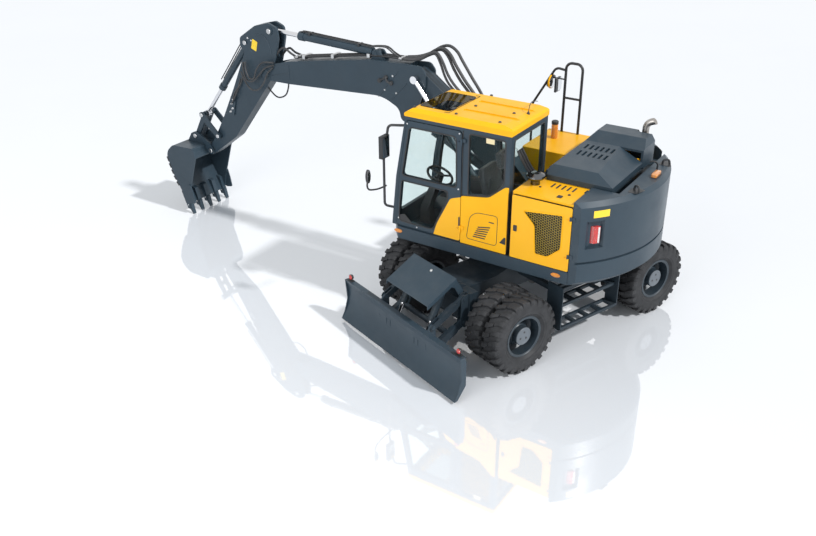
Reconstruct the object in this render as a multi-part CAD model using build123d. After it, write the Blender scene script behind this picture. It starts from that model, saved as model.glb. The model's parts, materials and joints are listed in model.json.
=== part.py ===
"""Wheeled excavator with a two-piece boom, a digging bucket and a levelling blade.

Millimetres. +X points along the boom, +Y to the cab side, +Z up. The origin is on the ground
under the swing axis. The undercarriage is drawn along its own X axis, blade end forward, and is
then turned by UPPER_SWING under the upper machine, the way the machine stands parked.
"""
from build123d import *
from math import atan2, cos, degrees, hypot, radians, sin, sqrt
import os

# ---- stance -------------------------------------------------------------------------------
UPPER_SWING = 70
PIN_FIT = 0.05
BODY_GAP = 0.3

# ---- wheels and axles (undercarriage frame) -------------------------------------------------
TYRE_RADIUS = 525
LUG_HEIGHT = 24
LUG_COUNT = 12
LUG_SHARE = 0.40
LUG_GAP = 14
TYRE_WIDTH = 275
BEAD_RADIUS = 262
RIM_WALL = 12
RIM_WIDTH = 196
RIM_FLANGE_RADIUS = 280
TWIN_SPACING = 325
OUTER_TYRE_Y = 1110
HUB_RADIUS = 165
HUB_START_Y = 712
HUB_CAP_RADIUS = 125
HUB_FACE_Y = 1193
SPINDLE_RADIUS = 60
SPINDLE_LENGTH = 160
DRIVE_AXLE_X = 1290
STEER_AXLE_X = -1210
AXLE_TUBE_RADIUS = 100
DIFFERENTIAL_RADIUS = 185
KINGPIN_Y = 600
KINGPIN_RADIUS = 30
KINGPIN_POST_RADIUS = 72
KINGPIN_POST_HEIGHT = 250
TRUNNION_Z = 650
TRUNNION_HALF = 195

# ---- undercarriage frame --------------------------------------------------------------------
FRAME_HALF_WIDTH = 300
FRAME_TOP_Z = 980
FRAME_BOTTOM_Z = 620
AXLE_PAD_Z = 716
FRAME_FRONT_X = 1640
FRAME_REAR_X = -1430
RING_OUTER_RADIUS = 545
RING_BAND = 105
RING_TOP_Z = 1105
LASHING_HOLE_RADIUS = 25
LASHING_Y = 190
LASHING_REACH = 65
HITCH_Z = (712, 740)
TOW_PIN_RADIUS = 21

# ---- boarding steps ---------------------------------------------------------------------------
STEP_OUTER_Y = 1200
STEP_FRONT_X = 620
STEP_REAR_X = -430
STEP_LOW_Z = 400
STEP_HIGH_Z = 700
STEP_TOP_Z = 985
STEP_DEPTH = 210
STEP_PLATE = 16

# ---- levelling blade --------------------------------------------------------------------------
BLADE_PIN_X = 1700
BLADE_LOW_PIN_Z = 560
BLADE_LINK_RISE = 340
BLADE_LINK_RUN = 500
BLADE_LINK_DROP = 240
BLADE_LINK_Y = 500
BLADE_HALF_WIDTH = 1248
BLADE_TOP_Z = 633
BLADE_EDGE_X = 2436
BLADE_EDGE_Z = 40
BLADE_PLATE = 16
BLADE_CYL_TOP = (1840, 1060)
BLADE_CYL_LOW = (2200, 300)
BLADE_CYL_Y = 300
BLADE_CYL_BARREL = 500
COVER_HALF_WIDTH = 440
COVER_REAR = (1765, 1166)
COVER_FRONT = (2222, 926)
COVER_SHEET = 13

# ---- upper machine ------------------------------------------------------------------------------
DECK_BOTTOM_Z = 1190
DECK_TOP_Z = 1208
UPPER_HALF_WIDTH = 1250
UPPER_FRONT_X = 1586
SKIRT_TOP_Z = 1364
SKIRT_THICKNESS = 30
TAIL_X = -1050
TAIL_RADIUS = 1700
COUNTERWEIGHT_TOP_Z = 2298
TAIL_BOTTOM_Z = 1200
TAIL_RECESS_Z = 2110
BOOM_Y = -60

# ---- cab ------------------------------------------------------------------------------------------
CAB_INSET = 35
CAB_LEFT_Y = UPPER_HALF_WIDTH - CAB_INSET
CAB_RIGHT_Y = 215
CAB_WALL = 55
CAB_REAR_X = -182
CAB_ROOF_Z = 2925
ROOF_CAP_Z = 3045
CAB_FLOOR_Z = 1260
DOOR_BOTTOM_Z = 1372
DOOR_REAR_X = 489
DOOR_GAP = 8
DOOR_HINGE_Y = CAB_LEFT_Y + 32
GLASS = 8

# ---- left and right housings, hood ------------------------------------------------------------------
PANEL_SPLIT_X = -235
PANEL_TOP_Z = 2256
PANEL_SHEET = 30
SERVICE_DOOR_GAP = 8
SERVICE_HINGE_Y = UPPER_HALF_WIDTH + 15
SERVICE_HINGE_X = TAIL_X + 16
TANK_TOP_Z = 2222
TANK_STEP_Z = 1840
TANK_SIDE_Y = -(UPPER_HALF_WIDTH - SKIRT_THICKNESS - 1)
HANDRAIL_Y = TANK_SIDE_Y + 49
HOOP_XS = (-30, 218)
HOOP_TOP_Z = 3222
HOOD_HINGE_X = -400
HOOD_REAR_X = -1300
HOOD_BOTTOM_Z = 2264
HOOD_SHEET = 30
HOOD_SIDE_Y = 693
HOOD_EDGE_Z = 2334
HOOD_HINGE = (-395, 2352)
HOOD_HINGE_YS = (-260, 420)
HINGE_EYE = 60
HINGE_GAP = 6
HINGE_PIN_RADIUS = 10
HINGE_RADIUS = 14
HINGE_PIN = 12
HINGE_KNUCKLE = 45
HINGE_LEAF = 55
HINGE_PAD = 22
SERVICE_HINGE_ZS = (1560, 2060)
DOOR_HINGE_Z = 2740
DOOR_LOW_HINGE_Z = 1560
BAY_INNER_Y = 600
EXHAUST_FOOT = (-1128, -810)
EXHAUST_RADIUS = 45
BOWL_PLACE = (-372, 885)
TAIL_POCKET_Y = (0.594 * TAIL_RADIUS, 0.765 * TAIL_RADIUS)
TAIL_LAMP_Y = (0.612 * TAIL_RADIUS, 0.65 * TAIL_RADIUS)
TAIL_LAMP_Z = (1760, 1980)

# ---- boom, arm and bucket pins (x, z) -----------------------------------------------------------------
BOOM_FOOT = (100, 1700)
BOOM_JOINT = (1900, 3040)
ARM_PIVOT = (4700, 2700)
BUCKET_PIVOT = (6100, 1150)
LIFT_BASE = (500, 1300)
ADJUST_BASE = (670, 1813)
ADJUST_EYE = (2050, 2460)
ARM_CYL_BASE = (2640, 3275)
ARM_CYL_EYE = (4590, 3360)
BUCKET_CYL_BASE = (5110, 3120)
BUCKET_LINK_PIN = (6200, 1770)
SIDE_LINK_PIN = (5870, 1460)
BUCKET_EAR_PIN = (6440, 1350)

BASE_BOOM_HALF = 125
BASE_TIP_HALF = 108
UPPER_BOOM_HALF = 140
CHEEK_INSIDE = 114
ARM_HALF = 100
HEAD_SLOT_HALF = 62
FOOT_PLATE = 20
SIDE_CLEARANCE = 5

LIFT_CYL_OFFSET = 188
LIFT_CYL_RADIUS = 50
LIFT_ROD_RADIUS = 32
LIFT_BARREL = 1560
BRACKET_PLATE = 18
ADJUST_CYL_RADIUS = 68
ADJUST_ROD_RADIUS = 42
ADJUST_BARREL = 1120
ARM_CYL_RADIUS = 60
ARM_ROD_RADIUS = 36
ARM_BARREL = 1430
BUCKET_CYL_RADIUS = 54
BUCKET_ROD_RADIUS = 34
BUCKET_BARREL = 1110
CYL_PIN_RADIUS = 30
EYE_HALF = 38

BUCKET_HALF_WIDTH = 450
BUCKET_PLATE = 22
TOOTH_COUNT = 5
TOOTH_WIDTH = 78
EAR_INSIDE = 106
EAR_PLATE = 30
BUCKET_LINK_INSIDE = 60
BUCKET_LINK_PLATE = 32
SIDE_LINK_INSIDE = 142
LINK_PIN_RADIUS = 28
SIDE_LINK_PLATE = 24


# ---- drawing helpers ------------------------------------------------------------------------------------

def block(x_span, y_span, z_span):
    """A box between pairs of limits."""
    sizes = [high - low for low, high in (x_span, y_span, z_span)]
    centre = [(high + low) / 2 for low, high in (x_span, y_span, z_span)]
    return Pos(*centre) * Box(*sizes)


def side_plate(outline, y_low, y_high):
    """Extrude an outline of (x, z, corner radius) rows across the machine."""
    points = [(x, y_low, z) for x, z, _ in outline]
    edge = FilletPolyline(*points, radius=[row[2] for row in outline], close=True)
    return extrude(make_face(edge), amount=y_high - y_low, dir=(0, 1, 0))


def plan_plate(outline, z_low, z_high):
    """Extrude an outline of (x, y, corner radius) rows upwards."""
    points = [(x, y, z_low) for x, y, _ in outline]
    edge = FilletPolyline(*points, radius=[row[2] for row in outline], close=True)
    return extrude(make_face(edge), amount=z_high - z_low, dir=(0, 0, 1))


def end_plate(outline, x_low, x_high):
    """Extrude an outline of (y, z, corner radius) rows along the machine."""
    points = [(x_low, y, z) for y, z, _ in outline]
    edge = FilletPolyline(*points, radius=[row[2] for row in outline], close=True)
    return extrude(make_face(edge), amount=x_high - x_low, dir=(1, 0, 0))


def rod(start, end, radius):
    """A round bar between two points."""
    axis = Vector(*end) - Vector(*start)
    return extrude(Plane(origin=start, z_dir=axis) * Circle(radius), amount=axis.length)


def cross_pin(pin, y_low, y_high, radius):
    """A round bar across the machine at an (x, z) pin."""
    return rod((pin[0], y_low, pin[1]), (pin[0], y_high, pin[1]), radius)


def bent_tube(points, radius, bend):
    """A tube along straight runs joined by bends."""
    path = FilletPolyline(*points, radius=bend)
    section = Plane(origin=path @ 0, z_dir=path % 0) * Circle(radius)
    return sweep(section, path=path)


def turned_round(outline, axis_point, direction=(0, 1, 0)):
    """Revolve an outline of (distance along axis, radius) rows about an axis."""
    frame = Plane(origin=axis_point, x_dir=direction, z_dir=_square_to(direction))
    face = make_face(Polyline(*[(along, out) for along, out in outline], close=True))
    return revolve(frame * face, axis=Axis(axis_point, direction))


def turned_sector(outline, axis_point, degrees):
    """Revolve an outline about the crosswise axis through part of a turn, centred on straight down."""
    frame = Plane(origin=axis_point, x_dir=(0, 1, 0), z_dir=(1, 0, 0))
    face = make_face(Polyline(*[(along, -out) for along, out in outline], close=True))
    axis = Axis(axis_point, (0, 1, 0))
    sector = revolve(frame * face, axis=axis, revolution_arc=degrees)
    return turned_about(sector, axis_point, -degrees / 2)


def turned_about(part, axis_point, degrees):
    """A part turned about the crosswise axis through a point."""
    x, y, z = axis_point
    return Pos(x, y, z) * Rot(0, degrees, 0) * Pos(-x, -y, -z) * part


def _square_to(direction):
    """A direction at right angles to a level or upright one."""
    x, y, z = direction
    return (0, -z, y) if x == 0 else (-y, x, 0) if z == 0 else (0, 1, 0)


def mirrored_y(part):
    """The same part on the other side of the undercarriage."""
    return mirror(part, about=Plane.XZ)


def both_sides(part):
    """A part and its mirror image as one compound."""
    return Compound(children=[part, mirrored_y(part)])


def across_boom(inside, outside):
    """The two spans across the machine that lie between two distances from the boom's plane."""
    return ((BOOM_Y - outside, BOOM_Y - inside), (BOOM_Y + inside, BOOM_Y + outside))


def under(part):
    """Turn a piece of the undercarriage to the way it stands under the upper machine."""
    return Rot(0, 0, UPPER_SWING) * part


def join(parts):
    """One solid out of parts that touch."""
    first, *others = parts
    return first.fuse(*others).clean() if others else first


# ---- wheels ------------------------------------------------------------------------------------------------

def lug_ring(wheel_x, y, flat_radius):
    """A polygon across the axle with two flats to each lug, one of them straight down."""
    flats = 2 * LUG_COUNT
    plane = Plane(origin=(wheel_x, y, TYRE_RADIUS), x_dir=(1, 0, 0), z_dir=(0, 1, 0))
    return plane * RegularPolygon(flat_radius, flats, major_radius=False, rotation=180 / flats)


def ring_loft(wheel_x, rows):
    """A flat-sided body through polygons given as (y, flat radius) rows."""
    parts = [loft([lug_ring(wheel_x, *low), lug_ring(wheel_x, *high)], ruled=True) for low, high in zip(rows, rows[1:])]
    return join(parts)


def tyre(wheel_x, centre_y):
    """One tyre: a flat-sided carcass, staggered lugs, and sides that pull in to the rim's flanges."""
    half = TYRE_WIDTH / 2
    bead = RIM_WIDTH / 2 - 16
    crown = TYRE_RADIUS - LUG_HEIGHT
    shoulder = half - 12
    wall = BEAD_RADIUS + 138
    body = ring_loft(wheel_x, [(centre_y + along, out) for along, out in
                               ((-half, wall), (-shoulder, crown), (shoulder, crown), (half, wall))])
    for side in (-1, 1):
        hollow = sorted([(centre_y + side * bead, BEAD_RADIUS), (centre_y + side * (half + 1), wall + 3)])
        body = body - ring_loft(wheel_x, hollow)
    body = body - ring_loft(wheel_x, [(centre_y - half, BEAD_RADIUS), (centre_y + half, BEAD_RADIUS)])
    pitch = 360 / LUG_COUNT
    lug_half = TYRE_RADIUS * radians(pitch) * LUG_SHARE / 2
    parts = [body]
    for side in (-1, 1):
        y_span = sorted((centre_y + side * LUG_GAP / 2, centre_y + side * (shoulder - 2)))
        lug = block((wheel_x - lug_half, wheel_x + lug_half), y_span, (0, LUG_HEIGHT + 12))
        first = pitch / 2 if side > 0 else 0
        for index in range(LUG_COUNT):
            parts.append(turned_about(lug, (wheel_x, 0, TYRE_RADIUS), first + index * pitch))
    return join(parts)


def tyre_pair(wheel_x, side):
    """The twin tyres of one wheel."""
    outer = tyre(wheel_x, side * OUTER_TYRE_Y)
    inner = tyre(wheel_x, side * (OUTER_TYRE_Y - TWIN_SPACING))
    return Compound(children=[inner, outer])


def rim_pair(wheel_x, side):
    """Twin rims, their discs and the hub drum, turned about the axle."""
    half = RIM_WIDTH / 2
    barrel = BEAD_RADIUS - RIM_WALL
    flange = RIM_FLANGE_RADIUS
    mid = OUTER_TYRE_Y - TWIN_SPACING / 2
    outlines = []
    for way, centre in ((1, OUTER_TYRE_Y), (-1, OUTER_TYRE_Y - TWIN_SPACING)):
        band = [(-half, barrel), (-half, flange), (-half + 8, flange), (-half + 8, BEAD_RADIUS),
                (half - 8, BEAD_RADIUS), (half - 8, flange), (half, flange), (half, barrel)]
        outlines.append([(centre + along, out) for along, out in band])
        offset = TWIN_SPACING / 2
        dish = [(-62, barrel + 4), (-44, barrel + 4), (-offset + 14, HUB_RADIUS - 6), (-offset, HUB_RADIUS - 6)]
        outlines.append([(centre + way * along, out) for along, out in dish])
    hub = [(HUB_START_Y, SPINDLE_RADIUS + PIN_FIT), (HUB_START_Y, HUB_RADIUS), (mid + 130, HUB_RADIUS),
           (mid + 170, HUB_CAP_RADIUS), (HUB_FACE_Y, HUB_CAP_RADIUS), (HUB_FACE_Y, 0), (HUB_START_Y + SPINDLE_LENGTH, 0),
           (HUB_START_Y + SPINDLE_LENGTH, SPINDLE_RADIUS + PIN_FIT)]
    outlines.append(hub)
    centre = (wheel_x, 0, TYRE_RADIUS)
    parts = [turned_round([(side * along, out) for along, out in outline], centre) for outline in outlines]
    return join(parts)


# ---- axles ---------------------------------------------------------------------------------------------------

def axle_body(axle_x, tube_end_y):
    """A live axle: tube and differential bowl."""
    centre = (axle_x, 0, TYRE_RADIUS)
    bowl = [(-150, 0), (-150, 110), (-70, DIFFERENTIAL_RADIUS), (70, DIFFERENTIAL_RADIUS), (150, 110), (150, 0)]
    tube = [(-tube_end_y, 0), (-tube_end_y, 78), (-230, AXLE_TUBE_RADIUS), (230, AXLE_TUBE_RADIUS),
            (tube_end_y, 78), (tube_end_y, 0)]
    toward_middle = -1 if axle_x > 0 else 1
    nose = rod((axle_x, 0, TYRE_RADIUS), (axle_x + toward_middle * 300, 0, TYRE_RADIUS), 78)
    return [turned_round(bowl, centre), turned_round(tube, centre), nose]


def drive_axle():
    """The axle at the blade end, bolted up to the frame, with its brake drums and spindles."""
    parts = axle_body(DRIVE_AXLE_X, HUB_START_Y - 70)
    for side in (-1, 1):
        ends = ((HUB_START_Y - 90, HUB_START_Y - 10, 150), (HUB_START_Y - 20, HUB_START_Y + SPINDLE_LENGTH - 4, SPINDLE_RADIUS))
        for start, end, radius in ends:
            parts.append(rod((DRIVE_AXLE_X, side * start, TYRE_RADIUS), (DRIVE_AXLE_X, side * end, TYRE_RADIUS), radius))
        pad_y = sorted((side * 190, side * 290))
        parts.append(block((DRIVE_AXLE_X - 95, DRIVE_AXLE_X + 95), pad_y, (TYRE_RADIUS, AXLE_PAD_Z)))
    return under(join(parts))


def steer_axle():
    """The oscillating axle at the counterweight end, with kingpin posts and a steering ram."""
    parts = axle_body(STEER_AXLE_X, KINGPIN_Y - 30)
    post_low = TYRE_RADIUS - KINGPIN_POST_HEIGHT / 2
    post_high = TYRE_RADIUS + KINGPIN_POST_HEIGHT / 2
    for side in (-1, 1):
        post = rod((STEER_AXLE_X, side * KINGPIN_Y, post_low), (STEER_AXLE_X, side * KINGPIN_Y, post_high), KINGPIN_POST_RADIUS)
        parts.append(post)
    parts.append(rod((STEER_AXLE_X - TRUNNION_HALF, 0, TRUNNION_Z), (STEER_AXLE_X + TRUNNION_HALF, 0, TRUNNION_Z), 52))
    ram_x = STEER_AXLE_X - 165
    parts.append(rod((ram_x, -230, TYRE_RADIUS), (ram_x, 230, TYRE_RADIUS), 45))
    parts.append(rod((ram_x, -430, TYRE_RADIUS), (ram_x, 430, TYRE_RADIUS), 22))
    parts.append(block((ram_x, STEER_AXLE_X), (-60, 60), (TYRE_RADIUS - 40, TYRE_RADIUS + 40)))
    body = join(parts)
    for side in (-1, 1):
        bore = rod((STEER_AXLE_X, side * KINGPIN_Y, post_low), (STEER_AXLE_X, side * KINGPIN_Y, post_high),
                   KINGPIN_RADIUS + PIN_FIT)
        body = body - bore
    return under(body)


def knuckle(side):
    """A swivel that wraps the kingpin post and carries the wheel's spindle."""
    half_gap = KINGPIN_POST_HEIGHT / 2 + SIDE_CLEARANCE
    ear = 40
    outer_y = HUB_START_Y - 12
    parts = []
    for low, high in ((-half_gap - ear, -half_gap), (half_gap, half_gap + ear)):
        y_span = sorted((side * (KINGPIN_Y - 60), side * outer_y))
        parts.append(block((STEER_AXLE_X - 60, STEER_AXLE_X + 60), y_span, (TYRE_RADIUS + low, TYRE_RADIUS + high)))
    web = sorted((side * (KINGPIN_Y + KINGPIN_POST_RADIUS + SIDE_CLEARANCE), side * outer_y))
    tall = half_gap + ear
    parts.append(block((STEER_AXLE_X - 60, STEER_AXLE_X + 60), web, (TYRE_RADIUS - tall, TYRE_RADIUS + tall)))
    parts.append(rod((STEER_AXLE_X, web[0], TYRE_RADIUS), (STEER_AXLE_X, web[1], TYRE_RADIUS), 110))
    parts.append(rod((STEER_AXLE_X, side * (outer_y - 20), TYRE_RADIUS),
                     (STEER_AXLE_X, side * (HUB_START_Y + SPINDLE_LENGTH - 4), TYRE_RADIUS), SPINDLE_RADIUS))
    parts.append(rod((STEER_AXLE_X, side * KINGPIN_Y, TYRE_RADIUS - tall), (STEER_AXLE_X, side * KINGPIN_Y, TYRE_RADIUS + tall),
                     KINGPIN_RADIUS))
    arm_z = TYRE_RADIUS - tall + ear / 2
    arm = [(STEER_AXLE_X + 60, side * (KINGPIN_Y - 50), 0), (STEER_AXLE_X + 60, side * (KINGPIN_Y + 50), 0),
           (STEER_AXLE_X - 190, side * (KINGPIN_Y - 60), 0), (STEER_AXLE_X - 190, side * (KINGPIN_Y - 110), 0)]
    parts.append(plan_plate(arm, arm_z - 18, arm_z + 18))
    return under(join(parts))


# ---- undercarriage ----------------------------------------------------------------------------------------------

def chassis_frame():
    """The box frame between the axles with its ring drum, blade mount and lashing plates."""
    spine = [(FRAME_REAR_X, AXLE_PAD_Z, 20), (FRAME_REAR_X, 860, 40), (-980, 890, 60), (-600, FRAME_TOP_Z, 60),
             (600, FRAME_TOP_Z, 60), (980, 890, 60), (FRAME_FRONT_X, 890, 20), (FRAME_FRONT_X, AXLE_PAD_Z, 20),
             (900, AXLE_PAD_Z, 80), (760, FRAME_BOTTOM_Z, 80), (-760, FRAME_BOTTOM_Z, 80), (-900, AXLE_PAD_Z, 80)]
    parts = [side_plate(spine, -FRAME_HALF_WIDTH, FRAME_HALF_WIDTH)]
    parts.append(rod((0, 0, 780), (0, 0, FRAME_TOP_Z), RING_OUTER_RADIUS + 25))
    parts += blade_mount()
    parts += step_outriggers()
    for x_low in (STEER_AXLE_X - TRUNNION_HALF - 45, STEER_AXLE_X + TRUNNION_HALF):
        parts.append(block((x_low, x_low + 45), (-90, 90), (TRUNNION_Z - 45, AXLE_PAD_Z + 20)))
    hitch = [(FRAME_REAR_X + 10, -LASHING_Y - 60, 0), (FRAME_REAR_X - LASHING_REACH, -LASHING_Y - 50, 40),
             (FRAME_REAR_X - LASHING_REACH - 45, -70, 40), (FRAME_REAR_X - LASHING_REACH - 45, 70, 40),
             (FRAME_REAR_X - LASHING_REACH, LASHING_Y + 50, 40), (FRAME_REAR_X + 10, LASHING_Y + 60, 0)]
    parts.append(plan_plate(hitch, *HITCH_Z))
    for y in (-110, 90):
        web = [(FRAME_REAR_X + 10, HITCH_Z[1] - 5, 0), (FRAME_REAR_X + 10, 830, 0), (FRAME_REAR_X - 60, HITCH_Z[1] - 5, 0)]
        parts.append(side_plate(web, y, y + 20))
    body = join(parts)
    low, high = HITCH_Z
    tow_x = FRAME_REAR_X - LASHING_REACH
    body = body - rod((tow_x, 0, low - 10), (tow_x, 0, high + 10), TOW_PIN_RADIUS)
    for side in (-1, 1):
        lashing = (FRAME_REAR_X - 30, side * LASHING_Y)
        body = body - rod((*lashing, low - 10), (*lashing, high + 10), LASHING_HOLE_RADIUS)
    return under(body)


def blade_mount():
    """A cross beam at the drive end with fork plates and pins for the blade's arms, links and rams."""
    beam_rear = FRAME_FRONT_X - 130
    top_z = BLADE_LOW_PIN_Z + BLADE_LINK_RISE + 60
    parts = [block((beam_rear, FRAME_FRONT_X), (-560, 560), (BLADE_LOW_PIN_Z - 70, top_z))]
    fork = [(beam_rear, BLADE_LOW_PIN_Z - 70, 0), (beam_rear, top_z, 0), (BLADE_PIN_X + 10, top_z, 40),
            (BLADE_PIN_X + 60, top_z - 60, 40), (BLADE_PIN_X + 60, BLADE_LOW_PIN_Z - 10, 40),
            (BLADE_PIN_X + 10, BLADE_LOW_PIN_Z - 70, 40)]
    for side in (-1, 1):
        for inner, outer in ((BLADE_LINK_Y - 40, BLADE_LINK_Y - 25), (BLADE_LINK_Y + 25, BLADE_LINK_Y + 40)):
            parts.append(side_plate(fork, *sorted((side * inner, side * outer))))
        for rise in (0, BLADE_LINK_RISE):
            pin = (BLADE_PIN_X, BLADE_LOW_PIN_Z + rise)
            parts.append(cross_pin(pin, side * (BLADE_LINK_Y - 48), side * (BLADE_LINK_Y + 48), 28))
        ram = [(beam_rear, top_z - 160, 0), (beam_rear, top_z, 0), (BLADE_CYL_TOP[0] - 40, BLADE_CYL_TOP[1] + 48, 30),
               (BLADE_CYL_TOP[0] + 40, BLADE_CYL_TOP[1] + 30, 38), (BLADE_CYL_TOP[0] + 30, BLADE_CYL_TOP[1] - 46, 34),
               (FRAME_FRONT_X, top_z - 160, 30)]
        for inner, outer in ((BLADE_CYL_Y - 50, BLADE_CYL_Y - 35), (BLADE_CYL_Y + 35, BLADE_CYL_Y + 50)):
            parts.append(side_plate(ram, *sorted((side * inner, side * outer))))
        parts.append(cross_pin(BLADE_CYL_TOP, side * (BLADE_CYL_Y - 52), side * (BLADE_CYL_Y + 52), 24))
    return parts


def step_outriggers():
    """Arms out to the boarding steps."""
    arms = []
    for x_low in (STEP_FRONT_X - 130, STEP_REAR_X + 90):
        for side in (-1, 1):
            y_span = sorted((side * (FRAME_HALF_WIDTH - 20), side * (STEP_OUTER_Y - STEP_DEPTH - 60)))
            arms.append(block((x_low, x_low + 70), y_span, (800, 870)))
    return arms


def swing_ring():
    """The slewing bearing between the two frames."""
    height = RING_TOP_Z - FRAME_TOP_Z
    outline = [(0, RING_OUTER_RADIUS - RING_BAND), (0, RING_OUTER_RADIUS), (height * 0.45, RING_OUTER_RADIUS),
               (height * 0.45, RING_OUTER_RADIUS - 18), (height * 0.55, RING_OUTER_RADIUS - 18),
               (height * 0.55, RING_OUTER_RADIUS - 6), (height, RING_OUTER_RADIUS - 6), (height, RING_OUTER_RADIUS - RING_BAND)]
    return turned_round(outline, (0, 0, FRAME_TOP_Z), (0, 0, 1))


def driveline():
    """The gearbox under the frame and the shafts to both axles."""
    box = [(-240, FRAME_BOTTOM_Z, 0), (-240, 470, 60), (-120, 430, 50), (120, 430, 50), (200, 480, 60), (200, FRAME_BOTTOM_Z, 0)]
    parts = [side_plate(box, -150, 150)]
    for end in (DRIVE_AXLE_X - 300, STEER_AXLE_X + 300):
        parts.append(rod((0, 0, TYRE_RADIUS), (end, 0, TYRE_RADIUS), 36))
    return under(join(parts))


def boarding_steps():
    """Open step frames on both sides: two treads between end plates, with a rail at the top."""
    inner_y = STEP_OUTER_Y - STEP_DEPTH
    parts = [block((STEP_REAR_X, STEP_FRONT_X), (inner_y, STEP_OUTER_Y), (STEP_LOW_Z - 40, STEP_LOW_Z)),
             block((STEP_REAR_X, STEP_FRONT_X), (inner_y - 60, STEP_OUTER_Y - 60), (STEP_HIGH_Z - 40, STEP_HIGH_Z))]
    front = [(inner_y - 60, STEP_HIGH_Z - 60, 0), (inner_y - 60, STEP_TOP_Z, 20), (STEP_OUTER_Y, STEP_TOP_Z, 30),
             (STEP_OUTER_Y, STEP_LOW_Z - 50, 30), (inner_y, STEP_LOW_Z - 50, 30), (inner_y, STEP_HIGH_Z - 60, 0)]
    parts.append(end_plate(front, STEP_FRONT_X, STEP_FRONT_X + STEP_PLATE))
    parts.append(end_plate(front, STEP_REAR_X - STEP_PLATE, STEP_REAR_X))
    parts.append(block((STEP_REAR_X - 90, STEP_FRONT_X + STEP_PLATE), (STEP_OUTER_Y - 50, STEP_OUTER_Y), (STEP_TOP_Z - 50, STEP_TOP_Z)))
    parts.append(block((STEP_REAR_X, STEP_FRONT_X), (inner_y - 60, inner_y - 20), (800, 870)))
    side = join(parts)
    for level, shift in ((STEP_LOW_Z, 0), (STEP_HIGH_Z, -60)):
        span = STEP_FRONT_X - STEP_REAR_X - 80
        for index in range(4):
            slot_x = STEP_REAR_X + 40 + span * (index + 0.5) / 4
            y_span = (inner_y + 35 + shift, STEP_OUTER_Y - 35 + shift)
            side = side - block((slot_x - span / 10, slot_x + span / 10), y_span, (level - 60, level + 20))
    return under(both_sides(side))


def blade_cover():
    """The sloping cover over the blade's rams, with folded edges."""
    rear_x, rear_z = COVER_REAR
    front_x, front_z = COVER_FRONT
    top = [(rear_x, rear_z, 0), (rear_x, rear_z + COVER_SHEET, 0), (front_x, front_z + COVER_SHEET, 0), (front_x, front_z, 0)]
    parts = [side_plate(top, -COVER_HALF_WIDTH, COVER_HALF_WIDTH)]
    lip = [(rear_x, rear_z - 47, 0), (rear_x, rear_z + COVER_SHEET, 0), (front_x, front_z + COVER_SHEET, 0), (front_x, front_z - 47, 0)]
    for side in (-1, 1):
        y_span = sorted((side * (COVER_HALF_WIDTH - 12), side * COVER_HALF_WIDTH))
        parts.append(side_plate(lip, *y_span))
        strut = [(FRAME_FRONT_X, 900, 0), (FRAME_FRONT_X, 960, 0), (rear_x, rear_z + 5, 0), (rear_x + 135, rear_z - 60, 0), (1780, 1040, 0),
                 (1700, 900, 0)]
        y_span = sorted((side * (COVER_HALF_WIDTH - 30), side * (COVER_HALF_WIDTH - 12)))
        parts.append(side_plate(strut, *y_span))
    return under(join(parts))


# ---- blade ---------------------------------------------------------------------------------------------------------

def blade_end_pins():
    """The blade's lower and upper pins as (x, z)."""
    low = (BLADE_PIN_X + BLADE_LINK_RUN, BLADE_LOW_PIN_Z - BLADE_LINK_DROP)
    return low, (low[0], low[1] + BLADE_LINK_RISE)


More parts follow.
